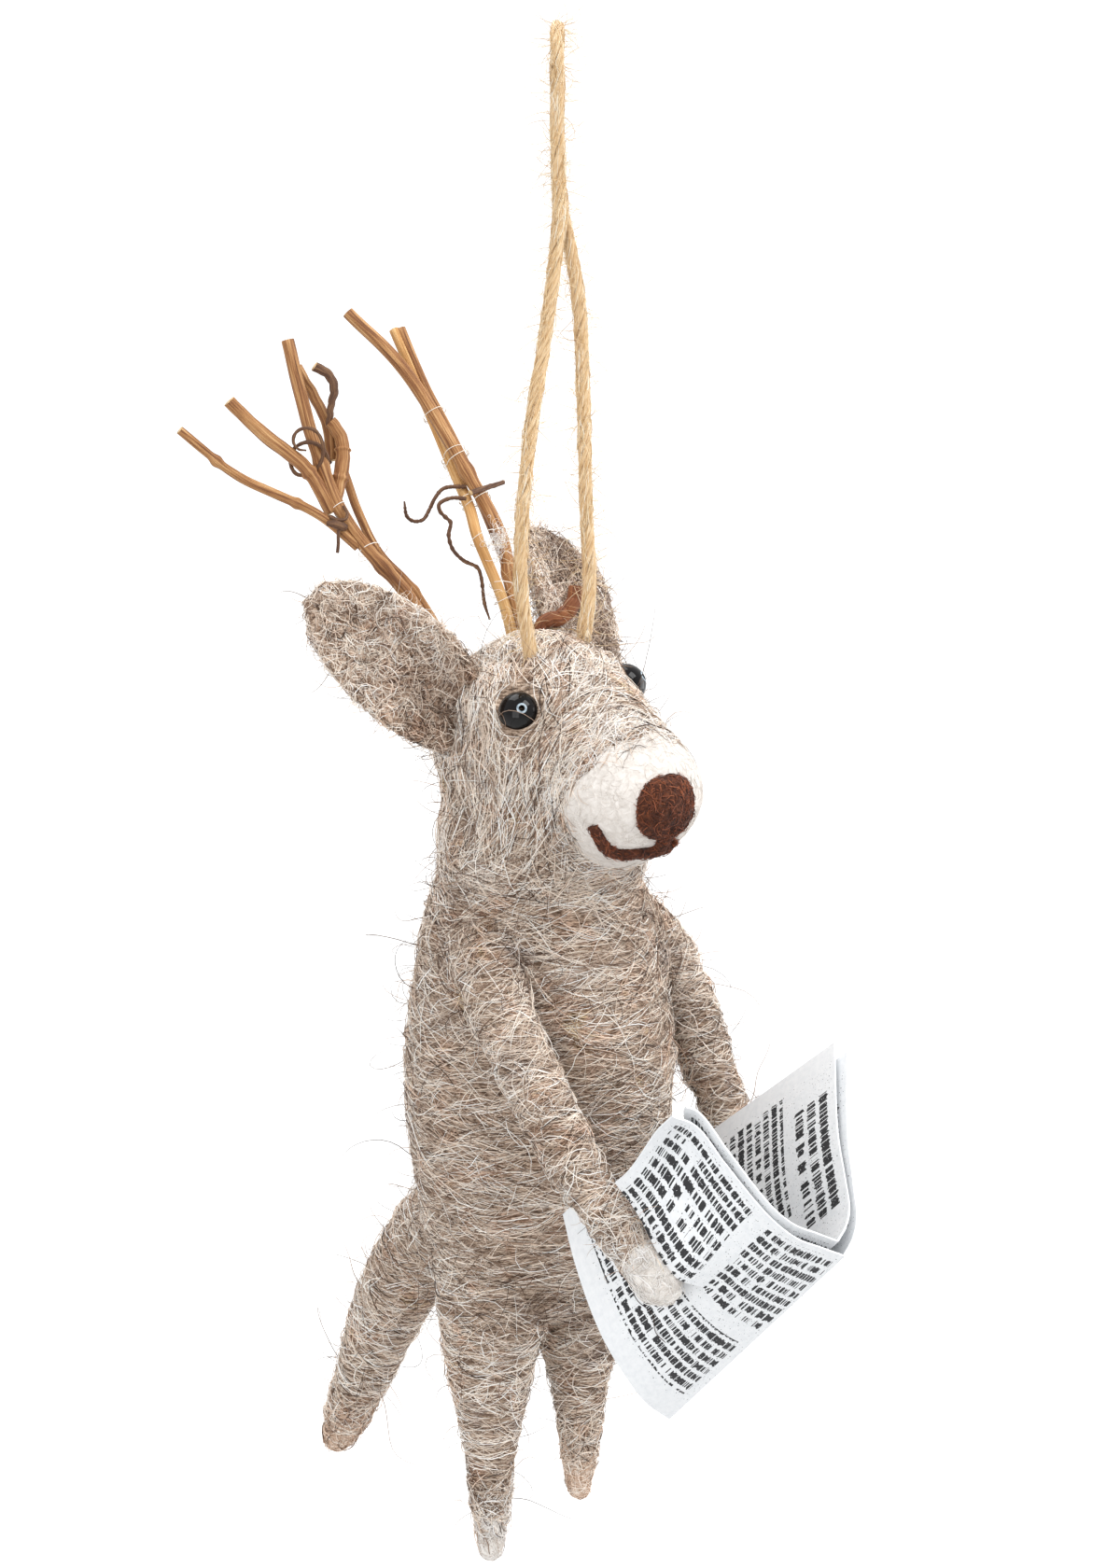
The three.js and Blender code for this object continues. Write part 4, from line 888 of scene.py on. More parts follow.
# Ears: two leaves of the same wool, needled thin and cupped, and rooted in the sides of the head. Their
# hair curls more than the rest, and they are a little redder inside.
def cupped_ear(name, side, axis, front, widths, bow):
    """A leaf of wool along axis with its hollow to the front: widths are its outline in shares of its full
    width, from root to tip, and bow bends it aside, in mm."""
    ear_outline = smooth_run([0, 0.25, 0.5, 0.72, 0.88, 1], widths)
    root = head_surface(head_centre, head_direction(111, 20.5, side)[None])[0]
    axis, front = unit(np.array(axis)), np.array(front)
    front = unit(front - front @ axis * axis)
    across = np.cross(axis, front)
    share = np.linspace(0, 1, 60)[:, None]
    turn = np.arange(72) * 2 * np.pi / 72
    aside, out = np.cos(turn)[None], np.sin(turn)[None]
    width = ear_width / 2 * ear_outline(share)
    middle = root + axis * ((ear_length + ear_root) * share - ear_root)[..., None]
    middle = middle + across * (bow * np.sin(np.pi * share))[..., None]
    lift = ear_cup * aside ** 2 * (1 - 0.5 * share) * ear_outline(share) ** 2
    slope = 2 * ear_cup * aside * (1 - 0.5 * share) * ear_outline(share) ** 2 / width
    blunt = 0.25 * np.sign(out) * np.abs(out) ** 0.3 + 0.75 * out
    thick = ear_thickness / 2 * (1 - 0.45 * share ** 3) * blunt
    normal = unit(front - across * slope[..., None])
    rings = middle + across * (width * aside)[..., None] + front * lift[..., None] + normal * thick[..., None]
    ways = (normal * np.sign(out + 1e-9)[..., None])[:, ::-1]
    rings = rough(rings[:, ::-1], ways, (0.35, 3.5, 6 + side), (0.2, 1.3, 3))
    ends = np.stack([rings[0].mean(0), rings[-1].mean(0)])
    ear = closed_mesh(f"{name}_ear_wool", rings[None], ends[None], [ear_wool])

    def ear_shade(places):
        """Painted shade: darker near the root, and on the left ear, which is seen from behind, darker along
        its middle too.
        """
        root_shade = 0.35 + 0.65 * np.clip((np.linalg.norm(places - root, axis=1) - 4) / 9, 0, 1)
        if side < 0:
            return root_shade
        return root_shade * (0.15 + 0.7 * np.clip(np.abs((places - root) @ across) / 6, 0, 1) ** 2)

    hair = lay_fibres(f"{name}_ear_hair", [ear], along_axis(axis), wool_hair, 2800, 4.6, wander=1.4,
                      curl=0.45, lift=0.3, steps=6, seed=51 + side, shade=ear_shade)
    haze = stray_fibres(f"{name}_ear_haze", *scatter([ear], 1050, 53 + side), wool_hair, 4.8, 0.14,
                        seed=55 + side, steps=6, curl=0.5, tones=(0.15, 0.9))
    top_hair = lay_fibres(f"{name}_ear_top_hair", [ear], along_axis(axis), cream_hair, 1100, 4.5,
                          wander=1.4, curl=0.5, lift=0.4, steps=6, seed=57 + side, shade=ear_shade)
    stand_for(f"{name}_ear")
    dress((ear, hair, haze, top_hair))
    return ear


ear_tones = [(0.36, "#5C493D"), (0.47, "#927C6B"), (0.56, "#BFA997"), (0.68, "#E2D1C2")]
ear_wool = wool_finish("ear_wool", ear_tones, (1.5, 1.5, 1.5), wool_patches)
ear_length, ear_width, ear_cup, ear_thickness, ear_root = 29, 17, 4.2, 3.6, 3
ears = [
    cupped_ear("right", -1, (-0.52, 0.53, 0.67), (-0.45, -0.8, 0.3), [0.64, 0.97, 1.03, 0.9, 0.65, 0.26], 0),
    cupped_ear("left", 1, (0.42, 0.68, 0.61), (0.12, -0.9, 0.33), [0.6, 0.92, 1.05, 1.08, 0.92, 0.44], -2),
]


# Arms and hands: wool wound round the wire from the shoulder down to a white end, the right one bent in
# over the newspaper. The white wool is teased out over the grey at the wrist.
def crossing(name, pieces, place, axis, finish, count, seed, reach=2.2):
    """Fibres that run along axis over the seam between two wools, and start within reach of place, in mm."""
    onward = unit(np.array(axis, float))
    return lay_fibres(name, pieces, along_axis(axis), finish, count, 5.5, wander=0.6, curl=0.3, lift=0.3,
                      steps=6, seed=seed, keep=lambda places: np.abs((places - place) @ onward) < reach)


def wrapped_arm(name, shift, seed):
    """An arm and its hand. Its lower part moves by shift in mm."""
    line, radii = limbs[f"{name}_arm"]
    line = line + np.clip(np.linspace(-3, 1, limb_rings), 0, 1)[:, None] ** 2 * shift
    thickness, length = 2 * radii[0], line_length(line)
    wrist = int(limb_rings * (1 - hand_length / length))
    tip = int(limb_rings * (1 - 0.5 * thickness / length))
    taper = np.linspace(0.95, 0.98, tip - wrist + 2)
    arm = wound_wool(f"{name}_arm_wool", line[:wrist + 2], radii[:wrist + 2], 0.4 * thickness, 0.4,
                     matted_wool, 5 + seed, sides=48, beside=torso_distance)
    hand = wound_wool(f"{name}_hand_wool", line[wrist - 2:tip], radii[wrist - 2:tip] * taper, 0.4,
                      0.42 * thickness, white_felt, 8, sides=48, ridge=0.3, lump=0.7)
    round_arm, hand_axis = across_axis(line[-1] - line[60]), line[-1] - line[100]
    back = unit(hand_axis)
    # Painted shade: the arm's hairs are darker close to the torso.
    arm_hair = lay_fibres(f"{name}_arm_hair", [arm], round_arm, wool_hair, 1400, 9, wander=0.28, curl=0.13,
                          lift=0.22, seed=61 + seed, shade=painted_crease_shade(torso_distance))
    arm_top_hair = lay_fibres(f"{name}_arm_top_hair", [arm], round_arm, cream_hair, 650, 9, 0.115, wander=0.3,
                              curl=0.15, lift=0.28, steps=6, seed=65 + seed, shade=painted_crease_shade(torso_distance))
    hand_hair = lay_fibres(f"{name}_hand_hair", [hand], across_axis(hand_axis), white_hair, 700, 4.5, 0.12,
                           wander=1.2, curl=0.4, lift=0.3, steps=6, seed=71)
    over_wrist = crossing(f"{name}_wrist_hair", [arm, hand], line[wrist] - 1.5 * back, hand_axis, wool_hair,
                          110, 73)
    white_wrist = crossing(f"{name}_wrist_white_hair", [arm, hand], line[wrist] - 0.6 * back, hand_axis,
                           white_hair, 300, 74)
    stand_for(f"{name}_arm")
    stand_for(f"{name}_hand")
    dress((arm, arm_hair, arm_top_hair, over_wrist))
    dress((hand, hand_hair, white_wrist))
    return arm


hand_length = 9.5
arms = [wrapped_arm("right", [1.1, -1.5, -1.2], 9), wrapped_arm("left", [0, 0, 0], 8)]


# Legs, feet and tail: tapering rolls of wool wound tightly round their wires. The right foot ends in
# white wool, and the left foot and the tail in a fleshy beige.
def tapered(name, tip_length, stretch, tip_name, tip_finish, tip_hair, hair_count, pale_count, seed):
    """A leg or the tail with its tip of other wool, drawn out by stretch in mm."""
    line, radii = limbs[name]
    line = line + np.linspace(0, 1, limb_rings)[:, None] ** 2 * unit(line[-1] - line[-20]) * stretch
    seam = int(limb_rings * (1 - tip_length / line_length(line)))
    taper = np.linspace(0.98, 0.8, limb_rings + 2 - seam)
    trunk = wound_wool(f"{name}_wool", line[:seam + 2], radii[:seam + 2], 0.6 * radii[0], 0.9, matted_wool,
                       seed, sides=64, ridge=0.3, lump=0.35, beside=torso_distance, web=5)
    tip = wound_wool(f"{tip_name}_wool", line[seam - 2:], radii[seam - 2:] * taper, 0.3, 0.8 * radii[-1],
                     tip_finish, seed + 1, sides=40, ridge=0.15, lump=0.2)
    round_trunk, tip_axis = across_axis(line[-1] - line[0]), line[-1] - line[seam]
    back = unit(tip_axis)
    others = [other for other in limbs if other != name]
    # Painted shade: the hairs are darker close to the torso and the other limbs.
    painted_limb_shade = painted_crease_shade(lambda places: np.minimum(torso_distance(places), limb_distance(places, *others)))
    hair = lay_fibres(f"{name}_hair", [trunk], round_trunk, wool_hair, hair_count, 9, wander=0.25, curl=0.12,
                      lift=0.22, seed=seed, shade=painted_limb_shade)
    top_hair = lay_fibres(f"{name}_top_hair", [trunk], round_trunk, cream_hair, pale_count, 9, 0.115,
                          wander=0.3, curl=0.15, lift=0.28, steps=6, seed=seed + 6, shade=painted_limb_shade)
    fuzz = lay_fibres(f"{tip_name}_hair", [tip], across_axis(tip_axis), tip_hair, 380, 5, wander=0.7,
                      curl=0.3, lift=0.15, seed=seed + 1)
    over = crossing(f"{tip_name}_grey_hair", [trunk, tip], line[seam] - 0.3 * back, tip_axis, wool_hair, 300,
                    seed + 2, 3.4)
    under = crossing(f"{tip_name}_pale_hair", [trunk, tip], line[seam] - 0.8 * back, tip_axis, tip_hair, 260,
                     seed + 3, 3)
    stand_for(name)
    stand_for(tip_name)
    dress((trunk, hair, top_hair, over))
    dress((tip, fuzz, under))
    return trunk


pale_wool = wool_finish("pale_wool", [(0.32, "#B4967F"), (0.5, "#DDC4AF"), (0.68, "#F4E6D9")], (1, 1, 3))
pale_hair = fibre_finish("pale_hair", [(0, "#8F6F57"), (0.3, "#CBA98F"), (0.7, "#EBD6C4"), (1, "#FFF4E8")])
legs_and_tail = [
    tapered("right_leg", 5.5, 1.5, "right_foot", white_felt, white_hair, 1600, 1000, 81),
    tapered("left_leg", 5.5, 1.5, "left_foot", pale_wool, pale_hair, 1900, 200, 84),
    tapered("tail", 4, 2.5, "tail_tip", pale_wool, pale_hair, 1750, 1000, 87),
]


# Wires: soft steel wire inside the arms, the legs and the tail, so that they keep their bends. The wool
# hides all of it.
steel = speckled_finish("soft_steel_wire", [(0.35, "#77797C"), (0.65, "#A4A6A9")], 0.9, 3, depth=0.02,
                        Metallic=1.0, Roughness=0.4)
for name in ("arm_wire", "leg_wire", "tail_wire"):
    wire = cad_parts[name].data
    wire.materials.clear()
    wire.materials.append(steel)


# Loose hairs: long, fine, cream and dark ones that curl over the wool and over its joins, and others that
# stand off it all over and show as a haze round it.
wool_parts = [torso, head, *ears, *arms, *legs_and_tail]
over_all = across_axis((0.1, 0.1, 1))


def off_the_muzzle(places):
    """True where places are clear of the white felt."""
    return muzzle_distance(places) > 0.8


def on_shoulders(places):
    """True where an arm and the torso are both near."""
    return limb_distance(places, "right_arm", "left_arm") + np.abs(torso_distance(places)) < 3.2


# Painted shade: these hairs are darker close to the torso.
limb_curls = lay_fibres("limb_top_hair", [*arms, *legs_and_tail], over_all, cream_hair, 3200, 8, 0.13,
                        wander=0.32, curl=0.16, lift=0.3, steps=6, seed=96, shade=painted_crease_shade(torso_distance))
wild_curls = lay_fibres("wild_curled_hair", wool_parts, over_all, cream_hair, 800, 12, wander=1.1, curl=0.3,
                        lift=0.6, steps=9, seed=95, keep=off_the_muzzle, clear=off_the_eyes)
shoulder_hair = lay_fibres("shoulder_hair", [torso, *arms], over_all, wool_hair, 700, 12, wander=0.4,
                           curl=0.2, lift=0.5, steps=8, seed=97, keep=on_shoulders)
roots, normals = scatter(wool_parts, 3000, 91)
bare = off_the_muzzle(roots) & off_the_eyes(roots)
haze = stray_fibres("wool_haze", roots[bare], normals[bare], wool_hair, 6, 0.13, seed=92, steps=6,
                    tones=(0, 0.45))
roots, normals = scatter(wool_parts, 420, 93)
bare = off_the_muzzle(roots)
long_hairs = stray_fibres("long_loose_hairs", roots[bare], normals[bare], wool_hair, 15, 0.15, seed=94,
                          steps=11, curl=0.3, tones=(0, 0.45))
dress((limb_curls, wild_curls, shoulder_hair, haze, long_hairs))


# Antlers: bundles of dry vine twigs pushed into the crown and lashed with thread. Their thin bark is
# smooth and streaked lengthwise, with swollen joints and pale, cleanly cut ends.
def bark_finish(name, stops, along_per_mm=0.091, roughness=0.62):
    """Bark with streaks 0.35 mm wide, of which there are along_per_mm on the way along the twig."""
    return streaked_finish(name, stops, (2.86, along_per_mm), 0.68, 0.2, Roughness=roughness,
                           Specular_IOR_Level=0.35)


vine_tones = [(0.32, "#4E2F1A"), (0.43, "#80522F"), (0.54, "#A97A4C"), (0.68, "#D0A878")]
vine_bark = bark_finish("vine_bark", vine_tones)
split_wood = bark_finish("split_wood", [(0.3, "#9A6C38"), (0.48, "#C4935A"), (0.65, "#E0BC86")])
dark_bark = bark_finish("dark_tendril_bark", [(0.3, "#33211A"), (0.5, "#5E412F"), (0.7, "#93704F")],
                        along_per_mm=0.26, roughness=0.7)
red_bark = bark_finish("red_bark", [(0.3, "#472213"), (0.5, "#764325"), (0.7, "#9E653E")], along_per_mm=0.195)
cut_wood = speckled_finish("cut_twig_end", [(0.35, "#A98558"), (0.55, "#D9BD92"), (0.7, "#EBD8B6")], 2.6, 3,
                           depth=0.05, Roughness=0.8, Specular_IOR_Level=0.2)

antler_reach, twig_depth, twig_thickness, twig_rings = 52, 8, 2.2, 90
antler_direction = {name: head_direction(144, 35.5, side) for name, side in (("right", -1), ("left", 1))}
antler_roots = {name: head_surface(head_centre, way[None])[0] for name, way in antler_direction.items()}


def on_antler(side, shares):
    """Places beside an antler's root, in shares of the antlers' reach."""
    return antler_roots[side] + np.array(shares) * antler_reach


def twig(name, side, shares, thickness, bark, root=None, knots=(), bends=0.12, sides=14,
         rings=twig_rings, taper=(1.05, 1, 0.92)):
    """A twig along points of an antler: root is how many twig thicknesses beside the antler's middle it goes
    into the head, and knots are where its joints swell, as shares of its length."""
    points = list(on_antler(side, shares))
    if root is not None:
        start = antler_roots[side] + [root * twig_thickness, 0, 0]
        points = [start - antler_direction[side] * twig_depth, start] + points
    line = smooth_line(points, rings)
    share = np.linspace(0, 1, rings)
    seed = sum(map(ord, name)) % 97
    for axis in range(3):
        crooks = np.array([noise.noise(Vector((s * 9, axis * 5, seed))) for s in share])
        line[:, axis] += bends * thickness / 2 * crooks
    radii = thickness / 2 * smooth_run([0, 0.5, 1], taper)(share)
    for at in knots:
        ring, waist = np.exp(-((share - at) / 0.018) ** 2), np.exp(-((share - at) / 0.06) ** 2)
        radii = radii * (1 + 0.3 * ring - 0.05 * waist)
    ribs = np.empty((rings, sides))
    for i, s in enumerate(share):
        for k in range(sides):
            t = 2 * math.pi * k / sides
            ribs[i, k] = noise.noise(Vector((1.5 * math.cos(t), 1.5 * math.sin(t), s * 4 + seed)))
    piece = tubes(name, line[None], (radii[:, None] * (1 + 0.13 * ribs))[None], sides, [bark, cut_wood],
                  uv=(math.pi * thickness, line_length(line)))
    dress((piece,))
    return piece, line


twigs = {}
for name, side, thickness, root, knots, shares in (
    ("right_antler_main_twig", "right", 2.2, 0, (0.42, 0.7), [
        (-0.054, 0.151, 0.23), (-0.117, 0.348, 0.433), (-0.121, 0.5, 0.678), (-0.094, 0.635, 0.957)]),
    ("right_antler_thin_twig", "right", 1.5, 1.2, (0.5,), [
        (-0.01, 0.18, 0.24), (-0.029, 0.307, 0.337), (-0.018, 0.411, 0.452), (-0.006, 0.483, 0.562)]),
    ("right_antler_front_twig", "right", 2.2, None, (0.3,), [
        (-0.138, 0.395, 0.466), (-0.174, 0.463, 0.589), (-0.272, 0.581, 0.717), (-0.331, 0.646, 0.804)]),
    ("right_antler_outer_twig", "right", 1.5, None, (0.35, 0.765, 0.785), [
        (-0.118, 0.305, 0.37), (-0.202, 0.39, 0.471), (-0.394, 0.547, 0.6), (-0.53, 0.654, 0.746)]),
    ("right_antler_knotted_twig", "right", 2.3, None, (0.25, 0.6), [
        (-0.107, 0.414, 0.504), (-0.058, 0.435, 0.599), (-0.033, 0.464, 0.668), (-0.047, 0.498, 0.717)]),
    ("right_antler_split_twig", "right", 1.8, None, (), [
        (-0.06, 0.48, 0.6), (-0.037, 0.524, 0.704), (-0.062, 0.627, 0.871)]),
    ("left_antler_main_twig", "left", 2.2, 0, (0.3, 0.55), [
        (0.005, 0.074, 0.178), (0.037, 0.162, 0.346), (0.049, 0.334, 0.534), (0.037, 0.59, 0.806),
        (-0.024, 0.766, 0.96)]),
    ("left_antler_back_twig", "left", 1.8, 1.2, (0.6,), [
        (0.048, 0.108, 0.163), (0.066, 0.172, 0.27), (0.094, 0.359, 0.507), (0.105, 0.575, 0.76),
        (0.122, 0.684, 0.898)]),
    ("left_antler_split_twig", "left", 1.8, -1.2, (), [
        (-0.04, 0.071, 0.17), (-0.03, 0.194, 0.345), (0.01, 0.268, 0.418), (0.055, 0.384, 0.511),
        (0.089, 0.598, 0.778), (0.106, 0.696, 0.896)]),
):
    bark, slot = (split_wood, "split_wood") if name == "left_antler_split_twig" else (vine_bark, "twig_bark")
    made, twigs[name] = twig(name.replace("_twig", "_bark"), side, shares, thickness, bark, root, knots)
    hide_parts(name)


# Tendrils, leaf stalk, peg and bark chip: the vine's own dark, wiry bits left on the twigs, and a chip of
# red bark stuck in the wool before the left ear.
def coil_points():
    """A tendril that winds twice on itself and draws in."""
    middle, start = on_antler("right", (-0.135, 0.5, 0.64)), on_antler("right", (-0.068, 0.475, 0.6))
    axis, up = unit(np.array([0.75, 0.6, -0.1])), unit(np.array([0, 0.1, 1]))
    out = unit(np.cross(axis, up))
    points = [start]
    for step in range(17):
        turn = math.pi * step / 4
        radius = np.interp(step, [0, 8, 16], [3.1, 2.9, 1.7])
        rise = np.interp(step, [0, 7, 11, 16], [-1.6, -1.3, 1.6, 2.2])
        points.append(middle + axis * (-0.6 - step * 0.16) + up * rise - up * radius * math.cos(turn)
                      + out * radius * math.sin(turn))
    return points


tendril_radius, tendril_girth, tendril_rings = 0.3, 1.9, 160
tendril_points = {
    "right_antler_tendril": coil_points(),
    "left_antler_short_tendril": on_antler("left", [
        (0.03, 0.305, 0.48), (-0.02, 0.35, 0.475), (-0.057, 0.352, 0.45), (-0.075, 0.357, 0.418),
        (-0.106, 0.355, 0.39), (-0.13, 0.37, 0.387), (-0.154, 0.376, 0.406), (-0.151, 0.39, 0.45)]),
    "left_antler_long_tendril": on_antler("left", [
        (-0.012, 0.262, 0.456), (-0.04, 0.3, 0.456), (-0.072, 0.318, 0.44), (-0.072, 0.315, 0.418),
        (-0.06, 0.303, 0.399), (-0.056, 0.285, 0.385), (-0.077, 0.272, 0.35), (-0.077, 0.255, 0.31),
        (-0.07, 0.215, 0.28), (-0.05, 0.175, 0.261), (-0.058, 0.15, 0.235), (-0.074, 0.12, 0.164),
        (-0.086, 0.085, 0.12)]),
}
for node, points in tendril_points.items():
    line = smooth_line(points, tendril_rings)
    thinning = np.interp(np.linspace(0, 1, tendril_rings), [0, 0.9, 1], [1.15, 1, 0.5])
    radii = tendril_radius * (1 + 0.35 * waves(tendril_rings, 0.3, layer=len(node))) * thinning
    made = tubes(node.replace("tendril", "tendril_vine"), line[None], radii[None], 8, [dark_bark],
                 uv=(tendril_girth, line_length(line)))
    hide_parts(node)
    dress((made,))
for node, name, side, thickness, taper, shares in (
    ("right_antler_leaf_stalk", "right_antler_leaf_stalk_vine", "right", 1.5, (0.6, 0.9, 1.1), [
        (-0.05, 0.5, 0.7), (-0.041, 0.505, 0.745), (-0.022, 0.507, 0.81), (-0.023, 0.525, 0.853),
        (-0.05, 0.563, 0.88)]),
    ("left_antler_cross_peg", "left_antler_cross_peg_vine", "left", 0.9, (1, 1, 0.8), [
        (-0.01, 0.245, 0.477), (0.15, 0.262, 0.48)]),
    ("bark_chip", "red_bark_chip", "left", 2.6, (0.5, 1, 0.95), [
        (-0.048, -0.077, 0.058), (-0.019, -0.077, 0.125), (0.054, -0.1, 0.144), (0.088, -0.106, 0.183),
        (0.106, -0.096, 0.219)]),
):
    bark, slot = (red_bark, "red_bark") if node == "bark_chip" else (dark_bark, "dark_bark")
    made, _ = twig(name, side, shares, thickness, bark, bends=0.3, sides=12, rings=50, taper=taper)
    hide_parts(node)


# Lashing: fine white thread round the twigs, with its ends left loose, and a wisp of white wool caught in it.
# A dark scrap of vine with its own tendril clings where the outer twig joins the right antler.
thread = fibre_finish("white_thread", [(0, "#CDBFAC"), (0.5, "#E9E1D4"), (1, "#FBF8F2")], sheen=0.2)
thread_thickness, wrap_rings = 0.13, 40


def wrap(bundle, share, tilt):
    """One loop of thread, drawn tight round the twigs that lie together at a share of the first one."""
    first = twigs[bundle[0]]
    at = int(share * (len(first) - 1))
    middle, along = first[at], unit(first[at + 1] - first[at - 1] + np.array(tilt))
    near = [min(twigs[name], key=lambda p: np.linalg.norm(p - middle)) for name in bundle]
    near = np.array([p for p in near if np.linalg.norm(p - middle) < 4.5])
    middle = near.mean(0)
    side = unit(np.cross(along, [1, 0, 0]))
    turns = np.linspace(0, 2 * np.pi * 1.15, wrap_rings)[:, None]
    spokes = side * np.cos(turns) + np.cross(along, side) * np.sin(turns)
    reach = ((near - middle) @ spokes.T).max(0) + twig_thickness / 2 + thread_thickness / 2
    return middle + spokes * reach[:, None] + along * (turns / 6 - 0.5) * thread_thickness * 2


left_bundle = ["left_antler_main_twig", "left_antler_back_twig", "left_antler_split_twig"]
right_bundle = ["right_antler_main_twig", "right_antler_thin_twig"]
wraps = [wrap(left_bundle, share, tilt) for share, tilt in (
    (0.71, (0, 0, 0)), (0.615, (0.3, 0.2, 0)), (0.6, (-0.1, 0, 0)), (0.5, (0.4, 0, 0)),
    (0.49, (-0.2, 0, 0.1)), (0.4, (0, 0.3, 0)), (0.27, (0.5, 0, 0)), (0.25, (-0.3, 0.2, 0.1)))]
wraps += [wrap(right_bundle, share, tilt) for share, tilt in (
    (0.6, (0, 0.3, 0)), (0.48, (0.5, 0, 0)), (0.25, (0.4, 0.3, 0)))]
lashing = tubes("thread_lashing", np.array(wraps), np.full((len(wraps), wrap_rings), thread_thickness / 2), 5,
                [thread], np.linspace(0.3, 1, len(wraps)))
rng = np.random.default_rng(98)
thread_ends = np.repeat([loop[0] for loop in wraps], 2, axis=0)
loose_thread = stray_fibres("loose_thread_ends", thread_ends, unit(rng.normal(0, 1, thread_ends.shape)),
                            thread, 6, 0.11, seed=99, steps=12, curl=0.5)
wisp_place = twigs["left_antler_main_twig"][int(0.38 * (twig_rings - 1))] + [-2.4, -1.2, 0.3]
wisp_starts = wisp_place + rng.normal(0, 1, (110, 3)) * [0.7, 0.5, 1.4]
wisp = stray_fibres("white_wisp", wisp_starts, unit(rng.normal(0, 1, wisp_starts.shape)), white_hair, 4, 0.1,
                    seed=100, steps=8, curl=0.8)
rooted_twigs = ["left_antler_main_twig", "left_antler_split_twig", *right_bundle]
root_starts = np.repeat(np.vstack([twigs[name][14:26:2] for name in rooted_twigs]), 4, axis=0)
root_ways = unit(rng.normal(0, 1, root_starts.shape) + [0, 0, -0.4])
root_hairs = stray_fibres("antler_root_hairs", root_starts, root_ways, cream_hair, 8, 0.085, seed=101,
                          steps=10, curl=0.5)
joint = twigs["right_antler_outer_twig"][12]
scrap_lines = [
    smooth_line(joint + np.array(points), wrap_rings) for points in (
        [(-2.5, -0.4, 1.2), (-1.6, -1.2, 1.1), (-0.4, -1.5, 0.6), (0.8, -1, 0.2), (1.3, 0.4, 0.4)],
        [(1.3, 0.4, 0.4), (0.7, 1.3, 1.3), (-0.6, 0.9, 1.8), (-1, -0.9, 1.7), (0.2, -1.7, 1.6),
         (1.4, -1.1, 2.2), (1.9, 0.3, 3.1)],
        [(-0.6, -1.4, 0.8), (-1.1, -1.6, -0.6), (-1, -1.5, -2.2), (-1.2, -1.5, -3.6)],
    )]
scrap_radii = [0.75 * np.sin(np.linspace(0.5, 2.8, wrap_rings)), np.full(wrap_rings, 0.26),
               np.full(wrap_rings, 0.28)]
scrap = tubes("dark_vine_scrap", np.array(scrap_lines), np.array(scrap_radii), 7, [dark_bark],
              uv=(tendril_girth, 8))
dress((lashing, loose_thread, wisp, root_hairs))
dress((scrap,))


# Newspaper: two sheets folded once, the outer one slit for the right hand. Newsprint is thin, grey-white
# and matt. Its print is rows of plain bars with ragged edges, so that no word is on it.
newsprint, shader = new_finish("newsprint", Roughness=0.8, Specular_IOR_Level=0.25)
page = add_node(newsprint, "ShaderNodeUVMap", uv_map="page")
page_mm = add_node(newsprint, "ShaderNodeSeparateXYZ", {"Vector": page})
along_fold, down_page = page_mm.outputs["X"], page_mm.outputs["Y"]


def overlap(area, *others):
    """The part of the page that some areas share. An area is 1 inside and 0 outside."""
    for other in others:
        area = add_node(newsprint, "ShaderNodeMath", {0: area, 1: other}, operation="MULTIPLY")
    return area


def together(area, *others):
    """Areas that lie apart on the page as one."""
    for other in others:
        area = add_node(newsprint, "ShaderNodeMath", {0: area, 1: other}, operation="ADD")
    return area


def block(left, right, top, bottom):
    """An oblong area, with its edges in mm along the fold and down the page."""
    edges = ((along_fold, left, "GREATER_THAN"), (along_fold, right, "LESS_THAN"),
             (down_page, top, "GREATER_THAN"), (down_page, bottom, "LESS_THAN"))
    return overlap(*(add_node(newsprint, "ShaderNodeMath", {0: value, 1: edge}, operation=side)
                     for value, edge, side in edges))


def print_rows(pitch, weight, fineness):
    """Rows of plain bars, pitch in mm apart and about a share of it, weight, high, broken into short strokes
    of uneven height, with gaps here and there."""
    rows = add_node(newsprint, "ShaderNodeMath", {0: along_fold, 1: pitch}, operation="DIVIDE")
    row = add_node(newsprint, "ShaderNodeMath", {0: rows}, operation="FLOOR")
    in_row = add_node(newsprint, "ShaderNodeMath", {0: rows, 1: 0.5}, operation="PINGPONG")
    line_place = add_node(newsprint, "ShaderNodeCombineXYZ", {"X": down_page, "Y": row})

    def along_row(per_mm, step, detail):
        place = add_node(newsprint, "ShaderNodeMapping", {"Vector": line_place, "Scale": (per_mm, step, 1)})
        return add_node(newsprint, "ShaderNodeTexNoise", {"Vector": place, "Scale": 1, "Detail": detail})

    ragged = add_node(newsprint, "ShaderNodeMath", {0: along_row(1.6 * fineness, 4.7, 1), 1: -0.5,
                                                    2: 0.75 - weight / 2}, operation="MULTIPLY_ADD")
    bar = add_node(newsprint, "ShaderNodeMath", {0: in_row, 1: ragged}, operation="GREATER_THAN")
    word = add_node(newsprint, "ShaderNodeMath", {0: along_row(0.5 * fineness, 7.31, 1), 1: 0.61},
                    operation="LESS_THAN")
    stroke = add_node(newsprint, "ShaderNodeMath", {0: along_row(2.3 * fineness, 3.77, 0), 1: 0.4},
                      operation="GREATER_THAN")
    wear = add_node(newsprint, "ShaderNodeTexNoise",
                    {"Vector": page, "Scale": 2.6, "Detail": 2, "Roughness": 0.8})
    unworn = add_node(newsprint, "ShaderNodeMath", {0: wear, 1: 0.34}, operation="GREATER_THAN")
    return overlap(bar, word, stroke, unworn)


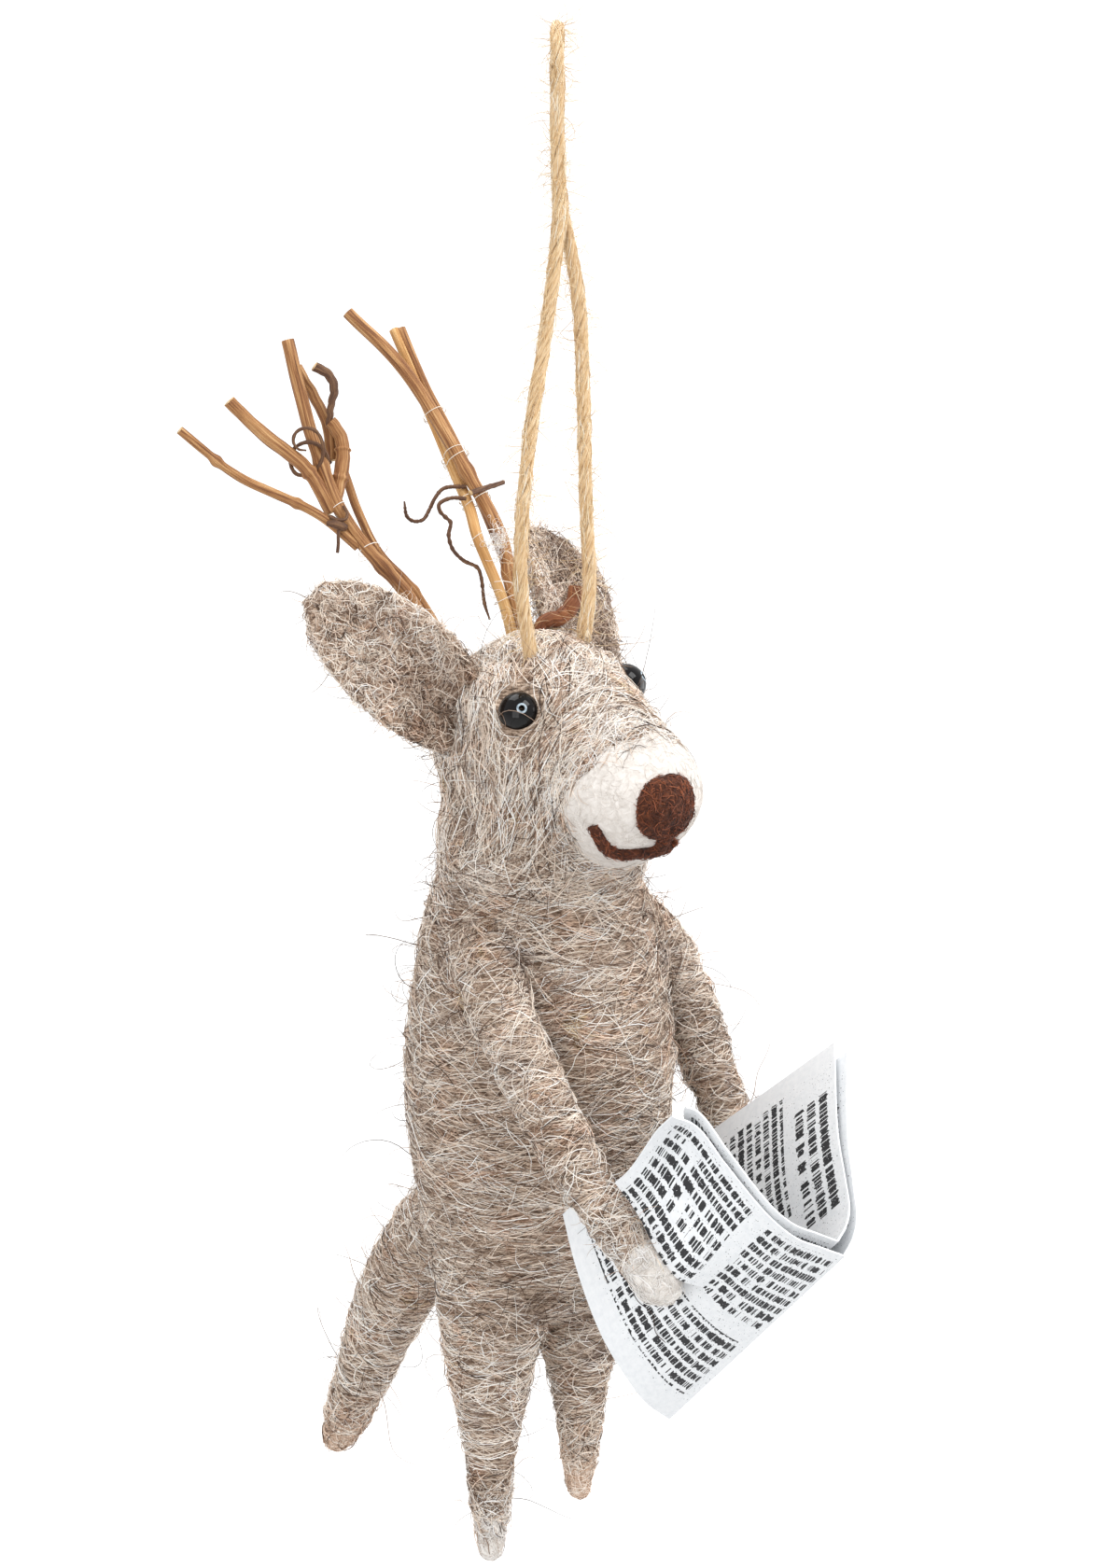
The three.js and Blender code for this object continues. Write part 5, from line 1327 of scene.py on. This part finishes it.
small_print = together(block(5.5, 19.6, 42, 76), block(23.2, 42.4, 40.8, 57), block(23.2, 42.4, 60.5, 78),
                       block(9, 30.5, 4, 27))
bold_print = block(33, 42, 9, 32)
printed = together(overlap(small_print, print_rows(2.1, 0.63, 1.35)),
                   overlap(bold_print, print_rows(3, 0.64, 1.05)))
specks = add_node(newsprint, "ShaderNodeTexNoise", {"Vector": page, "Scale": 3.1, "Detail": 1})
spatter = add_node(newsprint, "ShaderNodeMath", {0: specks, 1: 0.7}, operation="GREATER_THAN")
marks = add_node(newsprint, "ShaderNodeMath", {0: printed, 1: overlap(spatter, block(4, 43, 3, 79))},
                 operation="MAXIMUM")
ink = add_node(newsprint, "ShaderNodeMath", {0: marks, 1: 0.97}, operation="MULTIPLY")
pulp = add_node(newsprint, "ShaderNodeTexNoise",
                {"Vector": page, "Scale": 0.9, "Detail": 5, "Roughness": 0.6})
paper = add_node(newsprint, "ShaderNodeValToRGB", {"Fac": pulp}, [(0.3, "#DFE2E5"), (0.6, "#E9EBED")])
inked = add_node(newsprint, "ShaderNodeMix", {0: ink, 6: paper, 7: linear("#1D1C1F")}, data_type="RGBA")
finish_with(newsprint, shader, inked.outputs[2], pulp, 0.04, 0.4)

paper_thickness, sheet_gap, fold_length, panel_width, paper_bow = 0.35, 0.9, 43.5, 40, 7.7
fold_back = np.array([-1.1, -26.1, body_top - 85.1])
fold_direction = unit(np.array([0.228, -0.662, 0.715]))
right_back, right_front = np.array([-0.33, 0.26, 0.86]), np.array([-0.765, 0.195, 0.69])
left_back, left_front = np.array([0.465, 0.425, 0.805]), np.array([0.43, 0.4, 0.66])
slit_share, slit_end, slit_lift, slit_slant, slit_dent = 0.55, 0.36, 4.4, 0.055, 3.4
inner_peek, inner_rise = 1.8, 2.6
right_back_bow = smooth_run([0, 0.15, 0.3, 0.53, 0.82, 1], [0, 0.62, 0.88, 1, 0.56, 0])
right_front_bow = smooth_run([0, 0.15, 0.3, 0.45, 0.7, 0.84, 1], [0, 0.36, 0.7, 0.72, 0.14, -0.3, 0])
left_bow = smooth_run([0, 0.1, 0.2, 0.35, 0.57, 1], [0, 0.24, 0.34, 0.24, 0.06, 0])
lip_shrink, paper_columns, paper_rows = 0.13, 45, 96


def ease(x, low, high):
    """A soft step from 0 at low to 1 at high."""
    x = min(max((x - low) / (high - low), 0), 1)
    return x * x * (3 - 2 * x)


def paper_point(across, along, inset, slit_side=0):
    """A place on the folded sheets in mm: across runs from the edge in the right hand at -1, over the fold
    at 0, to the edge in the left hand at 1, and along from the body outward."""
    on_right = across < 0
    if slit_side > 0:
        along = along - slit_slant * ease(-across, slit_end, 0.65) * (1 - ease(along, slit_share, 0.9))
    elif slit_side < 0 and on_right:
        across = across * (1 - lip_shrink * ease(along, 0.15, slit_share) * ease(-across, slit_end, 1))
    tops = [b + (f - b) * along for b, f in ((right_back, right_front), (left_back, left_front))]
    top = tops[0 if on_right else 1] * panel_width
    outward = unit(np.cross(top, fold_direction)) * (-1 if on_right else 1)
    start = fold_back + fold_direction * fold_length * along
    end = start + top - outward * inset
    start = start + unit(tops[0] + tops[1]) * 2 * inset
    share = abs(across)
    if on_right:
        bow = right_back_bow(share) * (1 - along) + right_front_bow(share) * along
    else:
        bow = left_bow(share)
    point = start + (end - start) * share + outward * paper_bow * bow
    if not on_right:
        return point
    lift = slit_lift * ease(share, slit_end, 0.6) * (1 - ease(along, slit_share, 0.9))
    pressed = ease(share, slit_end, 0.7) * (1 - abs(along - slit_share) / slit_share)
    dent = slit_dent if slit_side < 0 else slit_dent + sheet_gap / 2
    return point + outward * (lift if slit_side > 0 else -dent * pressed)


def paper_sheet(name, node, place, slit_column=None):
    """A sheet as a grid, opened along a slit, then given its thickness. place(along, down, side) gives its
    places in mm from shares of the fold and of the page."""
    slit_row = round((1 + slit_end) / 2 * paper_rows)
    corner_of, places, squares, page_places = {}, [], [], []
    for i in range(paper_columns):
        side = 0 if slit_column is None else (-1 if i < slit_column else 1)
        for j in range(paper_rows):
            square = []
            for column, row in ((i, j), (i + 1, j), (i + 1, j + 1), (i, j + 1)):
                corner = column, row, side if column == slit_column and row > slit_row else 0
                along, down = column / paper_columns, row / paper_rows
                if corner not in corner_of:
                    corner_of[corner] = len(places)
                    places.append(place(along, down, side) * MM)
                square.append(corner_of[corner])
                page_places.append((along * fold_length, down * 2 * panel_width))
            squares.append(square)
    mesh = bpy.data.meshes.new(name)
    mesh.from_pydata(places, [], squares)
    mesh.uv_layers.new(name="page").data.foreach_set("uv", np.array(page_places, np.float32).ravel())
    piece = add_piece(name, mesh, [newsprint])
    take_up(piece)
    wall = piece.modifiers.new("thickness", "SOLIDIFY")
    wall.thickness, wall.offset, wall.use_even_offset = paper_thickness * MM, 0, True
    bpy.ops.object.modifier_apply(modifier=wall.name)
    bpy.ops.object.shade_smooth_by_angle(angle=math.radians(40))
    dress((piece,))
    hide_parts(node)
    return piece


def outer_place(along, down, side):
    """The outer sheet, whose slit parts towards both sides."""
    return paper_point(1 - 2 * down, along, 0, side)


def inner_place(along, down, side):
    """The inner sheet stands a little higher at the left, and peeks out past the outer one."""
    rise = inner_rise / panel_width * (1 + 1.8 * (1 - ease(along, 0.8, 1)) * ease(down, 0.5, 1))
    return paper_point(1 + rise - 2 * down, along + inner_peek / fold_length * (2 * down - 1),
                       paper_thickness + sheet_gap)


paper_sheet("outer_newspaper", "newspaper_outer_sheet", outer_place, round(slit_share * paper_columns))
paper_sheet("inner_newspaper", "newspaper_inner_sheet", inner_place)
stuck_hair_line = smooth_line([paper_point(-share, along, -0.5) for share, along in
                               ((0.66, 0.27), (0.56, 0.23), (0.47, 0.27), (0.4, 0.24), (0.33, 0.25))], 30)
stuck_hair = tubes("dark_hair_on_paper", stuck_hair_line[None], np.full((1, 30), 0.07), 4, [wool_hair],
                   np.array([0.02]), pointed=True)
dress((stuck_hair,))


# Floor and light: a plain pale floor well below the hanging figure, soft lamps from the front and above,
# and white all round, as in a light tent.
def seen_straight(material):
    """1 where the camera, a gloss or clear glass looks at it, and 0 where it only lights other things."""
    path = add_node(material, "ShaderNodeLightPath")
    by_gloss = add_node(material, "ShaderNodeMath",
                        {0: path.outputs["Is Glossy Ray"], 1: path.outputs["Is Transmission Ray"]},
                        operation="MAXIMUM")
    return add_node(material, "ShaderNodeMath", {0: path.outputs["Is Camera Ray"], 1: by_gloss},
                    operation="MAXIMUM")


floor_size, floor_drop, floor_glow, tent_strength = 12, 0.45, 0.72, 0.92
bpy.ops.mesh.primitive_plane_add(size=floor_size, location=(0, 0, cad_box[0].z - floor_drop))
floor = bpy.context.object
floor.name = "studio_floor"
bpy.ops.object.transform_apply(location=True, rotation=True, scale=True)
pale_floor = bpy.data.materials.new("pale_floor")
pale_floor.use_nodes = True
pale_floor.node_tree.nodes.clear()
glow_strength = add_node(pale_floor, "ShaderNodeMath", {0: seen_straight(pale_floor), 1: floor_glow},
                         operation="MULTIPLY")
matt = add_node(pale_floor, "ShaderNodeBsdfDiffuse", {"Color": linear("#C4C4C4")})
glow = add_node(pale_floor, "ShaderNodeEmission", {"Color": (1, 1, 1, 1), "Strength": glow_strength})
both = add_node(pale_floor, "ShaderNodeAddShader", {0: matt, 1: glow})
add_node(pale_floor, "ShaderNodeOutputMaterial", {"Surface": both})
floor.data.materials.append(pale_floor)

world = bpy.data.worlds.new("light_tent")
bpy.context.scene.world = world
world.use_nodes = True
world.node_tree.nodes.clear()
strength = add_node(world, "ShaderNodeMath",
                    {0: seen_straight(world), 1: 1 - tent_strength, 2: tent_strength},
                    operation="MULTIPLY_ADD")
tent = add_node(world, "ShaderNodeBackground", {"Color": (1, 1, 1, 1), "Strength": strength})
add_node(world, "ShaderNodeOutputWorld", {"Surface": tent})


def softbox(name, direction, distance, size, watts):
    """A square lamp that looks at the figure's middle from a direction, with distance and size in metres."""
    middle = Vector((0, 0, -150)) * MM
    direction = Vector(direction).normalized()
    bpy.ops.object.light_add(type="AREA", location=middle + direction * distance,
                             rotation=direction.to_track_quat("Z", "Y").to_euler())
    lamp = bpy.context.object
    lamp.name = name
    lamp.data.shape, lamp.data.size, lamp.data.energy = "SQUARE", size, watts


softbox("key_lamp", (0.35, -0.75, 1.2), 1.4, 0.7, 10.5)
softbox("left_lamp", (-1, -0.5, 0.1), 1.5, 1.0, 8)
softbox("top_lamp", (0.1, 0.5, 1), 1.5, 1.0, 11)
softbox("right_lamp", (1, -0.5, 0), 1.5, 1.0, 11)
